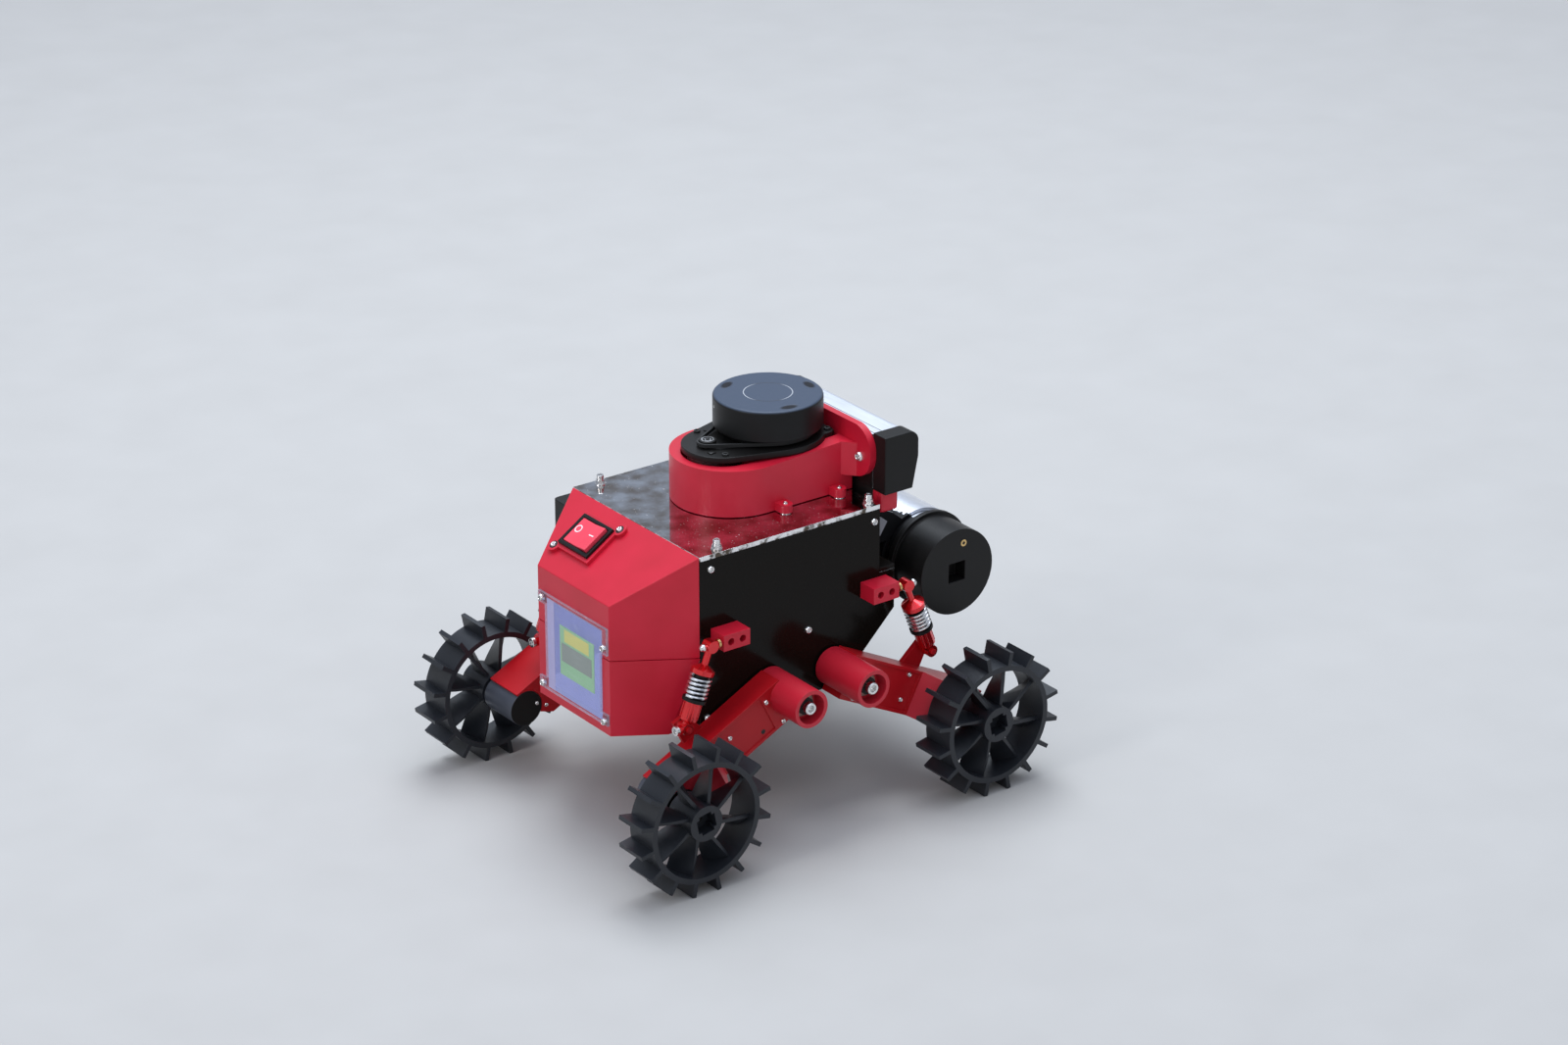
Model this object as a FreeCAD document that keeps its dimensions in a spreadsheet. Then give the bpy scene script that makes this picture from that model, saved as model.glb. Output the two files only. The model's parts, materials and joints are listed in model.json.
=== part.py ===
# Small wheeled rover with a boxed body, a folded nose, a spinning range finder on top,
# a cross drum behind and four sprung arms that carry lugged wheels.
# Millimetres. X points to the nose, Y to the left side, Z up. The origin is the bottom
# centre of the rover, on the ground under the middle of the wheelbase.
import FreeCAD, Part
import os
import Sketcher

os.makedirs("parts", exist_ok=True)
doc = FreeCAD.newDocument("Rover")

# Driving dimensions

SIZES = {
    # body box
    "lid_height": 193.5,
    "lid_thickness": 3.0,
    "body_width": 137.4,
    "body_front": 76.0,
    "body_back": 63.0,
    "plate_thickness": 3.0,
    "floor_drop": 115.5,
    "deck_drop": 43.7,
    "deck_overhang": 12.0,
    "back_wall_drop": 73.9,
    "floor_back": 33.0,
    # nose
    "nose_length": 47.4,
    "nose_width": 78.4,
    "nose_slope_drop": 30.7,
    "nose_split_drop": 67.6,
    "nose_depth": 118.8,
    "nose_wall": 2.4,
    "nose_facet_length": 17.0,
    "nose_facet_depth": 11.0,
    "nose_facet_start": 0.3,
    "split_gap": 0.3,
    # display
    "display_top_drop": 46.0,
    "display_height": 66.0,
    "display_far_margin": 2.7,
    "display_near_margin": 0.7,
    "display_ear_width": 7.5,
    "display_ear_height": 7.5,
    "near_ear_drop": 10.5,
    "cover_thickness": 2.0,
    "screen_thickness": 4.0,
    "screen_gap": 0.3,
    # switch
    "switch_along": 25.2,
    "switch_across": 20.7,
    "bezel_margin": 2.5,
    "bezel_ear_radius": 4.5,
    "bezel_thickness": 2.5,
    "frame_length": 25.0,
    "frame_width": 31.5,
    "frame_rise": 4.5,
    "frame_rim": 2.5,
    "rocker_rise": 7.0,
    "rocker_gap": 0.4,
    # range finder mount
    "mount_rise": 0.6,
    "mount_radius": 38.4,
    "mount_lead": 6.0,
    "mount_floor": 4.0,
    "mount_front_height": 31.4,
    "mount_back_height": 34.4,
    "mount_web": 6.5,
    "mount_web_rise": 8.0,
    "flange_thickness": 4.8,
    "flange_half_width": 60.0,
    "flange_bottom": 12.0,
    "flange_top": 47.0,
    "flange_round": 16.0,
    "mount_boss_radius": 4.4,
    "mount_boss_height": 5.4,
    "mount_boss_reach": 5.0,
    "mount_boss_front": 8.0,
    "mount_boss_back": 50.0,
    "mount_post_radius": 4.0,
    "base_post_back": 54.0,
    "base_post_side": 17.0,
    "base_post_front": 2.0,
    # range finder
    "head_radius": 35.0,
    "head_back": 26.5,
    "head_bottom": 41.9,
    "head_height": 20.4,
    "head_edge": 1.2,
    "neck_radius": 29.0,
    "base_bottom": 33.0,
    "base_thickness": 4.0,
    "base_margin": 1.5,
    "base_back_half_width": 27.0,
    "base_back_length": 34.0,
    "base_corner": 5.0,
    "base_nose_radius": 26.0,
    "base_nose_reach": 35.5,
    "turning_gap": 0.3,
    "pulley_radius": 5.5,
    "pulley_height": 3.8,
    "pulley_lead": 10.5,
    "pulley_side": 1.0,
    "belt_lift": 0.6,
    "belt_width": 2.4,
    "belt_thickness": 1.2,
    "belt_gap": 0.3,
    "motor_radius": 13.0,
    "motor_length": 22.0,
    # sensor bar
    "bar_depth": 26.4,
    "bar_height": 38.5,
    "bar_bottom": 5.0,
    "bar_near_end": 69.5,
    "bar_far_end": 50.0,
    "bar_cap_width": 13.0,
    "bar_round": 7.0,
    "bar_slant": 4.5,
    "bar_inset": 0.8,
    "bar_waist_share": 0.55,
    # cross drum
    "drum_setback": 56.0,
    "drum_drop": 58.5,
    "drum_hang": 10.0,
    "drum_radius": 28.0,
    "drum_wall": 2.0,
    "drum_cap_radius": 29.0,
    "drum_ring_radius": 31.5,
    "drum_ring_width": 4.0,
    "drum_cap_width": 32.0,
    "drum_half_width": 77.0,
    "drum_key": 13.0,
    "drum_key_depth": 10.0,
    "saddle_half_width": 38.0,
    "strap_thickness": 2.2,
    "saddle_front_height": 20.0,
    "saddle_peak_back": 17.0,
    "saddle_peak_height": 27.0,
    "saddle_lip": 21.0,
    "saddle_lip_height": 18.0,
    "seat_gap": 0.3,
    # side box
    "box_length": 34.0,
    "box_width": 21.0,
    "box_height": 28.0,
    "box_front_gap": 2.0,
    "box_drop": 14.3,
    "box_round": 4.0,
    # arms
    "pivot_reach": 24.2,
    "pivot_drop": 99.7,
    "axle_reach": 114.2,
    "arm_gap": 1.5,
    "arm_width": 18.0,
    "arm_top": 13.5,
    "arm_bottom": 16.5,
    "arm_top_end": 102.0,
    "arm_low_end": 86.0,
    "arm_chin_rise": 2.0,
    "arm_ramp_start": 60.0,
    "arm_ramp_length": 8.0,
    "tube_radius": 12.5,
    "tube_bore": 9.8,
    "tube_bore_depth": 10.0,
    "tube_length": 43.8,
    "cover_recess": 1.0,
    "cover_start": 17.0,
    "cover_end": 58.0,
    "cover_margin": 2.0,
    "boss_radius": 6.0,
    # shock absorbers
    "shock_offset": 10.8,
    "bracket_length": 20.0,
    "bracket_width": 14.0,
    "bracket_height": 10.8,
    "bracket_hole_radius": 2.3,
    "bracket_hole_share": 0.28,
    "shock_top_gap": 8.0,
    "shock_run": 19.3,
    "shock_rise": 50.5,
    "shock_eye_along": 66.0,
    "shock_eye_rise": 27.0,
    "eye_radius": 4.0,
    "eye_width": 7.0,
    "rod_radius": 2.2,
    "cup_radius": 7.6,
    "cup_height": 6.0,
    "cup_start": 12.0,
    "spring_radius": 7.6,
    "spring_length": 16.0,
    "shock_body_radius": 5.6,
    "gusset_length": 26.0,
    "gusset_rim": 1.5,
    "eye_boss_radius": 3.0,
    "stud_radius": 1.8,
    "stud_tip": 1.5,
    "core_radius": 4.6,
    "ring_height": 2.2,
    # wheels
    "wheel_radius": 49.0,
    "rim_radius": 40.0,
    "rim_wall": 3.6,
    "wheel_width": 24.0,
    "lug_thickness": 2.8,
    "hub_radius": 11.8,
    "hub_socket": 9.0,
    "hub_socket_depth": 9.0,
    "socket_lobe": 2.2,
    "spoke_thickness": 2.4,
    "spoke_width": 17.0,
    "spoke_sink": 3.0,
    "spoke_root_pitch": 5.0,
    "spoke_tip_pitch": -42.0,
    "spoke_place_share": 0.61,
    "shaft_radius": 3.0,
    "shaft_clearance": 0.05,
    "drive_radius": 11.8,
    "drive_width": 13.3,
    "drive_gap": 2.5,
    # how far a cut runs past what it cuts
    "overrun": 2.0,
}
COUNTS = {"lugs": 16, "spokes": 8, "spoke_steps": 3}

sheet = doc.addObject("Spreadsheet::Sheet", "Sizes")
row = 0
for group in (SIZES, COUNTS):
    for word, amount in group.items():
        row += 1
        sheet.set("A%d" % row, word)
        sheet.set("B%d" % row, str(amount))
        sheet.setAlias("B%d" % row, word)
doc.recompute()


def size(word):
    """Name of a driving dimension inside an expression."""
    return "Sizes." + word


def fill(text):
    """Expression text in which every driving dimension is written by its plain name."""
    pieces = []
    word = ""
    for letter in text + " ":
        if letter.isalnum() or letter == "_":
            word += letter
            continue
        pieces.append(size(word) if word in SIZES or word in COUNTS else word)
        pieces.append(letter)
        word = ""
    return "".join(pieces).strip()


# Helpers for bodies and sketches

NORMAL_SIGN = {"XY_Plane": 1, "XZ_Plane": -1, "YZ_Plane": 1}
NODES = []


def new_body(label, x="0", y="0", z="0"):
    body = doc.addObject("PartDesign::Body", label)
    body.Label = label
    seat(body, x, y, z)
    NODES.append(body)
    return body


def seat(item, x="0", y="0", z="0"):
    for axis, text in zip("xyz", (x, y, z)):
        item.setExpression("Placement.Base." + axis, fill(text))


def turn(item, axis, text):
    item.Placement = FreeCAD.Placement(item.Placement.Base, FreeCAD.Rotation(axis, 1))
    item.setExpression("Placement.Rotation.Angle", fill(text))


def new_sketch(body, role, name, lift="0"):
    """Sketch on one of the body's own origin planes, moved along the axis by lift."""
    sketch = body.newObject("Sketcher::SketchObject", body.Label + "_" + name)
    plane = [item for item in body.Origin.OriginFeatures if item.Role == role][0]
    sketch.AttachmentSupport = [(plane, "")]
    sketch.MapMode = "FlatFace"
    if lift != "0":
        sign = "-" if NORMAL_SIGN[role] < 0 else ""
        sketch.setExpression("AttachmentOffset.Base.z", fill(sign + "(" + lift + ")"))
    return sketch


def tie(sketch, kind, item, point, text):
    """Distance of a point from the sketch origin along one axis, bound to the sheet."""
    start = sketch.getPoint(item, point)
    now = start.x if kind == "DistanceX" else start.y
    index = sketch.addConstraint(Sketcher.Constraint(kind, -1, 1, item, point, now))
    sketch.setExpression("Constraints[%d]" % index, fill(text))


def outline(sketch, points):
    """Closed polygon whose corners are pairs of expressions."""
    places = [FreeCAD.Vector(plain(x), plain(y), 0) for x, y in points]
    first = sketch.GeometryCount
    count = len(points)
    for index in range(count):
        line = Part.LineSegment(places[index], places[(index + 1) % count])
        sketch.addGeometry(line, False)
    for index in range(count):
        after = first + (index + 1) % count
        sketch.addConstraint(Sketcher.Constraint("Coincident", first + index, 2, after, 1))
    for index, (x, y) in enumerate(points):
        tie(sketch, "DistanceX", first + index, 1, x)
        tie(sketch, "DistanceY", first + index, 1, y)


def circle(sketch, x, y, radius):
    centre = FreeCAD.Vector(plain(x), plain(y), 0)
    item = sketch.GeometryCount
    shape = Part.Circle(centre, FreeCAD.Vector(0, 0, 1), plain(radius))
    sketch.addGeometry(shape, False)
    tie(sketch, "DistanceX", item, 3, x)
    tie(sketch, "DistanceY", item, 3, y)
    index = sketch.addConstraint(Sketcher.Constraint("Radius", item, plain(radius)))
    sketch.setExpression("Constraints[%d]" % index, fill(radius))


def plain(text):
    """Number that an expression gives now."""
    result = doc.Sizes.evalExpression(fill(text))
    return float(getattr(result, "Value", result))


def pad(body, sketch, length, symmetric=True, backward=False):
    feature = body.newObject("PartDesign::Pad", sketch.Name + "_pad")
    feature.Profile = sketch
    feature.SideType = "Symmetric" if symmetric else "One side"
    feature.Reversed = backward
    feature.setExpression("Length", fill(length))
    return feature


def pocket(body, sketch, length, symmetric=True, backward=False):
    feature = body.newObject("PartDesign::Pocket", sketch.Name + "_cut")
    feature.Profile = sketch
    feature.SideType = "Symmetric" if symmetric else "One side"
    feature.Reversed = backward
    feature.setExpression("Length", fill(length))
    return feature


def revolve(body, sketch, axis_role):
    feature = body.newObject("PartDesign::Revolution", sketch.Name + "_turned")
    feature.Profile = sketch
    axis = [item for item in body.Origin.OriginFeatures if item.Role == axis_role][0]
    feature.ReferenceAxis = (axis, [""])
    feature.Angle = 360
    return feature


def polar(body, features, axis_role, count):
    feature = body.newObject("PartDesign::PolarPattern", features[0].Name + "_ring")
    feature.Originals = features
    axis = [item for item in body.Origin.OriginFeatures if item.Role == axis_role][0]
    feature.Axis = (axis, [""])
    feature.Angle = 360
    feature.setExpression("Occurrences", fill(count))
    body.Tip = feature
    return feature


def loft(body, sketches):
    feature = body.newObject("PartDesign::AdditiveLoft", sketches[0].Name + "_loft")
    feature.Profile = sketches[0]
    feature.Sections = sketches[1:]
    feature.Ruled = True
    return feature


def round_edges(body, base, radius, wanted, name):
    """Fillet on those edges of a feature for which wanted(edge) is true."""
    doc.recompute()
    names = []
    for index, edge in enumerate(base.Shape.Edges):
        if wanted(edge):
            names.append("Edge%d" % (index + 1))
    feature = body.newObject("PartDesign::Fillet", body.Label + "_" + name)
    feature.Base = (base, names)
    feature.setExpression("Radius", fill(radius))
    return feature


def along(edge, axis):
    """True where a straight edge runs along one axis."""
    if edge.Curve.TypeId != "Part::GeomLine":
        return False
    run = edge.Vertexes[1].Point.sub(edge.Vertexes[0].Point)
    return abs(abs(getattr(run, axis)) - run.Length) < 1e-6 and run.Length > 0


# Suspension heights and slopes, seen from the side

AXLE_HEIGHT = "(wheel_radius * cos(180 deg / lugs) + lug_thickness / 2 * sin(180 deg / lugs))"
PIVOT_HEIGHT = "(lid_height - pivot_drop)"
ARM_DROP = "(" + PIVOT_HEIGHT + " - " + AXLE_HEIGHT + ")"
ARM_RUN = "(axle_reach - pivot_reach)"
ARM_SLOPE = "atan2(" + ARM_DROP + "; " + ARM_RUN + ")"
ARM_LENGTH = "sqrt(" + ARM_DROP + "^2 + " + ARM_RUN + "^2)"
# Lower eye of a shock absorber on the arm, and its upper eye beside the bracket
EYE_X = ("(pivot_reach + shock_eye_along * cos(" + ARM_SLOPE + ") + shock_eye_rise * sin("
         + ARM_SLOPE + "))")
EYE_Z = ("(" + PIVOT_HEIGHT + " - shock_eye_along * sin(" + ARM_SLOPE + ") + shock_eye_rise * cos("
         + ARM_SLOPE + "))")
SHOCK_TOP_X = "(" + EYE_X + " - shock_run)"
SHOCK_TOP_Z = "(" + EYE_Z + " + shock_rise)"
SHOCK_LENGTH = "sqrt(shock_run^2 + shock_rise^2)"
BRACKET_TOP = "(" + SHOCK_TOP_Z + " + bracket_height / 2)"
BRACKET_FAR = "(" + SHOCK_TOP_X + " - shock_top_gap)"
BRACKET_NEAR = "(" + BRACKET_FAR + " - bracket_length)"


# Body box

HALF = "body_width / 2"
INNER = "(body_width / 2 - plate_thickness)"
UNDER_LID = "(lid_height - lid_thickness)"
DECK_TOP = "(lid_height - deck_drop)"
DECK_UNDER = "(lid_height - deck_drop - plate_thickness)"
FLOOR = "(lid_height - floor_drop)"
# The back wall under the deck: its upper end, where it folds, and its lean
TAIL = "(-body_back - deck_overhang)"
FOLD = "(lid_height - back_wall_drop)"
BACK_LEAN = "atan2(" + FOLD + " - " + FLOOR + "; -floor_back - " + TAIL + ")"
BACK_FOOT = "(-floor_back + plate_thickness / sin(" + BACK_LEAN + "))"


def lid_plate():
    body = new_body("lid_plate", z=UNDER_LID)
    sketch = new_sketch(body, "XY_Plane", "outline")
    outline(sketch, [("-body_back", "-" + HALF), ("body_front", "-" + HALF),
                     ("body_front", HALF), ("-body_back", HALF)])
    pad(body, sketch, "lid_thickness", symmetric=False)


def side_plate(label, sign):
    body = new_body(label, y="%d * (body_width - plate_thickness) / 2" % sign)
    sketch = new_sketch(body, "XZ_Plane", "outline")
    outline(sketch, [("body_front", UNDER_LID), ("-body_back", UNDER_LID),
                     ("-body_back", DECK_UNDER), (TAIL, DECK_UNDER), (TAIL, FOLD),
                     ("-floor_back", FLOOR), ("body_front", FLOOR)])
    pad(body, sketch, "plate_thickness")


def floor_plate():
    body = new_body("floor_plate", z=FLOOR)
    sketch = new_sketch(body, "XY_Plane", "outline")
    outline(sketch, [(BACK_FOOT, "-" + INNER), ("body_front", "-" + INNER),
                     ("body_front", INNER), (BACK_FOOT, INNER)])
    pad(body, sketch, "plate_thickness", symmetric=False)


def mid_deck():
    body = new_body("mid_deck", z=DECK_UNDER)
    sketch = new_sketch(body, "XY_Plane", "outline")
    reach = "-body_back + deck_overhang"
    outline(sketch, [(TAIL, "-" + HALF), ("-body_back", "-" + HALF), ("-body_back", "-" + INNER),
                     (reach, "-" + INNER), (reach, INNER), ("-body_back", INNER),
                     ("-body_back", HALF), (TAIL, HALF)])
    pad(body, sketch, "plate_thickness", symmetric=False)


def back_plates():
    body = new_body("back_upper_plate")
    sketch = new_sketch(body, "XZ_Plane", "outline")
    front = "-body_back + plate_thickness"
    outline(sketch, [("-body_back", DECK_TOP), (front, DECK_TOP), (front, UNDER_LID),
                     ("-body_back", UNDER_LID)])
    pad(body, sketch, "2 * " + INNER)

    body = new_body("back_lower_plate")
    sketch = new_sketch(body, "XZ_Plane", "outline")
    turned = "atan2(-floor_back - " + TAIL + "; " + FOLD + " - " + FLOOR + ")"
    lift = "plate_thickness * tan(" + turned + " / 2)"
    outline(sketch, [(TAIL, DECK_UNDER), (TAIL, FOLD), ("-floor_back", FLOOR), (BACK_FOOT, FLOOR),
                     (TAIL + " + plate_thickness", FOLD + " + " + lift),
                     (TAIL + " + plate_thickness", DECK_UNDER)])
    pad(body, sketch, "2 * " + INNER)


lid_plate()
side_plate("side_plate_left", 1)
side_plate("side_plate_right", -1)
floor_plate()
mid_deck()
back_plates()


# Nose

FRONT = "(body_front + nose_length)"
SPLIT = "(lid_height - nose_split_drop)"
SLOPE = "atan2(nose_slope_drop; nose_length)"
# Sideways run of the nose flank for each millimetre forward
FLANK = "((body_width - nose_width) / 2 / nose_length)"


def nose_plan(inset, facet_length="0", facet_depth="0"):
    """Left half of the nose seen from above, drawn in by a wall thickness."""
    start = "(" + HALF + " - " + inset + " - " + facet_depth + ")"
    bend_x = "(body_front + " + facet_length + ")"
    bend_y = "(" + HALF + " - " + inset + " - " + facet_length + " * " + FLANK + ")"
    tip_x = "(" + FRONT + " - " + inset + ")"
    tip_y = "(nose_width / 2 - " + inset + " + " + inset + " * " + FLANK + ")"
    return [("body_front", start), (bend_x, bend_y), (tip_x, tip_y)]


def both_halves(points):
    other = [(x, "-" + y) for x, y in reversed(points)]
    return points + other


def nose_slope_cut(body):
    """Sketch of what lies above the sloping top."""
    sketch = new_sketch(body, "XZ_Plane", "top_slope")
    beyond = "(" + FRONT + " + overrun)"
    back_x = "(body_front - overrun)"
    rise = "overrun * tan(" + SLOPE + ")"
    outline(sketch, [(back_x, "lid_height + " + rise),
                     (beyond, "lid_height - nose_slope_drop - " + rise),
                     (beyond, "lid_height + 2 * overrun"), (back_x, "lid_height + 2 * overrun")])
    return sketch


def nose_opening(body, name, bottom, top):
    """Window for the screen through the front wall."""
    sketch = new_sketch(body, "YZ_Plane", name, lift=FRONT)
    far = "-(" + FAR_SIDE + " - display_ear_width)"
    near = "(" + NEAR_SIDE + " - display_ear_width)"
    outline(sketch, [(far, bottom), (near, bottom), (near, top), (far, top)])
    pocket(body, sketch, "nose_wall + overrun", symmetric=False)


FAR_SIDE = "(nose_width / 2 - display_far_margin)"
NEAR_SIDE = "(nose_width / 2 - display_near_margin)"
WINDOW_TOP = "(lid_height - display_top_drop - display_ear_height / 2)"
WINDOW_BOTTOM = "(lid_height - display_top_drop - display_height + display_ear_height / 2)"


def nose_upper_shell():
    body = new_body("nose_upper_shell")
    sketch = new_sketch(body, "XY_Plane", "plan", lift=SPLIT)
    outline(sketch, both_halves(nose_plan("0")[0::2]))
    pad(body, sketch, "nose_split_drop", symmetric=False)
    pocket(body, nose_slope_cut(body), "body_width + overrun")
    sketch = new_sketch(body, "XZ_Plane", "hollow")
    drop = "nose_wall / cos(" + SLOPE + ")"
    inner_x = "(" + FRONT + " - nose_wall)"
    rise = "overrun * tan(" + SLOPE + ")"
    low = "(" + SPLIT + " - overrun)"
    outline(sketch, [("body_front - overrun", low), (inner_x, low),
                     (inner_x, "lid_height - nose_slope_drop - " + drop
                      + " + nose_wall * tan(" + SLOPE + ")"),
                     ("body_front - overrun", "lid_height - " + drop + " + " + rise)])
    pocket(body, sketch, "nose_width - 2 * nose_wall")
    nose_opening(body, "window", SPLIT + " - overrun", WINDOW_TOP)


def nose_lower_shell():
    body = new_body("nose_lower_shell")
    low = "(lid_height - nose_depth)"
    top = "(" + SPLIT + " - split_gap)"
    above = new_sketch(body, "XY_Plane", "plan_top", lift=top)
    outline(above, both_halves(nose_plan("0", "nose_facet_start", "0")))
    below = new_sketch(body, "XY_Plane", "plan_bottom", lift=low)
    outline(below, both_halves(nose_plan("0", "nose_facet_length", "nose_facet_depth")))
    loft(body, [above, below])
    sketch = new_sketch(body, "XZ_Plane", "hollow")
    inner_x = "(" + FRONT + " - nose_wall)"
    floor = "(" + low + " + nose_wall)"
    outline(sketch, [("body_front - overrun", floor), (inner_x, floor),
                     (inner_x, top + " + overrun"), ("body_front - overrun", top + " + overrun")])
    pocket(body, sketch, "nose_width - 2 * nose_wall")
    nose_opening(body, "window", WINDOW_BOTTOM, top + " + overrun")


def display():
    body = new_body("display_cover", x=FRONT)
    sketch = new_sketch(body, "YZ_Plane", "outline")
    top = "(lid_height - display_top_drop)"
    low = "(" + top + " - display_height)"
    far = "-" + FAR_SIDE
    near = NEAR_SIDE
    far_in = "(" + far + " + display_ear_width)"
    near_in = "(" + near + " - display_ear_width)"
    ear = "display_ear_height"
    outline(sketch, [(far, top), (near, top), (near, top + " - near_ear_drop - " + ear),
                     (near_in, top + " - near_ear_drop - " + ear), (near_in, low + " + " + ear),
                     (near, low + " + " + ear), (near, low), (far, low), (far, low + " + " + ear),
                     (far_in, low + " + " + ear), (far_in, top + " - " + ear),
                     (far, top + " - " + ear)])
    pad(body, sketch, "cover_thickness", symmetric=False)

    body = new_body("display_screen", x=FRONT + " - screen_thickness")
    sketch = new_sketch(body, "YZ_Plane", "outline")
    gap = "screen_gap"
    outline(sketch, [(far_in + " + " + gap, WINDOW_BOTTOM + " + " + gap),
                     (near_in + " - " + gap, WINDOW_BOTTOM + " + " + gap),
                     (near_in + " - " + gap, WINDOW_TOP + " - " + gap),
                     (far_in + " + " + gap, WINDOW_TOP + " - " + gap)])
    pad(body, sketch, "screen_thickness", symmetric=False)


# Switch on the slope: a bezel, the frame of the switch and its rocker

def on_slope(body, rise="0"):
    """Places a body on the sloping top, lifted square to it by rise."""
    seat(body, "body_front + switch_along * cos(" + SLOPE + ") + " + rise + " * sin(" + SLOPE + ")",
         "-switch_across",
         "lid_height - switch_along * sin(" + SLOPE + ") + " + rise + " * cos(" + SLOPE + ")")
    turn(body, FreeCAD.Vector(0, 1, 0), SLOPE)


def rectangle(half_x, half_y):
    """Corners of a rectangle about the sketch origin."""
    return [("-" + half_x, "-" + half_y), (half_x, "-" + half_y),
            (half_x, half_y), ("-" + half_x, half_y)]


def ring_block(body, outer, inner, height, name):
    sketch = new_sketch(body, "XY_Plane", name)
    outline(sketch, rectangle(*outer))
    outline(sketch, rectangle(*inner))
    return pad(body, sketch, height, symmetric=False)


def disc(body, name, x, y, radius, height, lift="0", symmetric=False, role="XY_Plane"):
    sketch = new_sketch(body, role, name, lift=lift)
    circle(sketch, x, y, radius)
    return pad(body, sketch, height, symmetric=symmetric)


def switch():
    body = new_body("switch_bezel")
    half_x = "(frame_length / 2 + bezel_margin)"
    half_y = "(frame_width / 2 + bezel_margin)"
    hole = ("(frame_length / 2)", "(frame_width / 2)")
    ring_block(body, (half_x, half_y), hole, "bezel_thickness", "plate")
    for name, x, y in (("ear_near", "-" + half_x, half_y), ("ear_far", half_x, "-" + half_y)):
        disc(body, name, x, y, "bezel_ear_radius", "bezel_thickness")
    sketch = new_sketch(body, "XY_Plane", "hole")
    outline(sketch, rectangle(*hole))
    pocket(body, sketch, "bezel_thickness", symmetric=False, backward=True)
    on_slope(body)
    body = new_body("switch_frame")
    inner = ("(frame_length / 2 - frame_rim)", "(frame_width / 2 - frame_rim)")
    ring_block(body, ("(frame_length / 2)", "(frame_width / 2)"), inner, "frame_rise", "rim")
    on_slope(body)
    body = new_body("switch_rocker")
    length = "(frame_length / 2 - frame_rim - rocker_gap)"
    sketch = new_sketch(body, "YZ_Plane", "side")
    half = "(frame_width / 2 - frame_rim - rocker_gap)"
    outline(sketch, [("-" + half, "0"), (half, "0"), (half, "rocker_rise"),
                     ("0", "frame_rise"), ("-" + half, "frame_rise")])
    pad(body, sketch, "2 * " + length)
    on_slope(body)


nose_upper_shell()
nose_lower_shell()
display()
switch()


# Range finder: its cup on the lid, its base, motor, belt and spinning head

LID = "lid_height"


def slab(body, name, back, front, half, height, lift="0", cut=False):
    """Block between two x values, as wide as twice half."""
    sketch = new_sketch(body, "XY_Plane", name, lift=lift)
    outline(sketch, [(back, "-" + half), (front, "-" + half), (front, half), (back, half)])
    if cut:
        return pocket(body, sketch, height, symmetric=False, backward=True)
    return pad(body, sketch, height, symmetric=False)


# Front face of the flange behind the head, and the middle of the cup
FLANGE_FRONT = "(head_back + max(base_back_length; head_radius))"
NOSE_X = "(base_nose_reach - head_back)"
CUP_X = "(" + NOSE_X + " - mount_lead)"
BASE_RADIUS = "(head_radius + base_margin)"
PULLEY_REACH = "(base_nose_reach + pulley_lead)"
POST_PLACES = [("-base_post_back", "base_post_side"), ("-base_post_back", "-base_post_side"),
               ("base_post_front", "base_post_side"), ("base_post_front", "-base_post_side")]


def waist(big, small, reach):
    """Corners of the straight-sided piece between two circles, from tangent to tangent."""
    lean = "acos((" + big + " - " + small + ") / " + reach + ")"
    near = [(big + " * cos(" + lean + ")", big + " * sin(" + lean + ")"),
            (reach + " + " + small + " * cos(" + lean + ")", small + " * sin(" + lean + ")")]
    return near + [(x, "-" + y) for x, y in reversed(near)]


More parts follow.
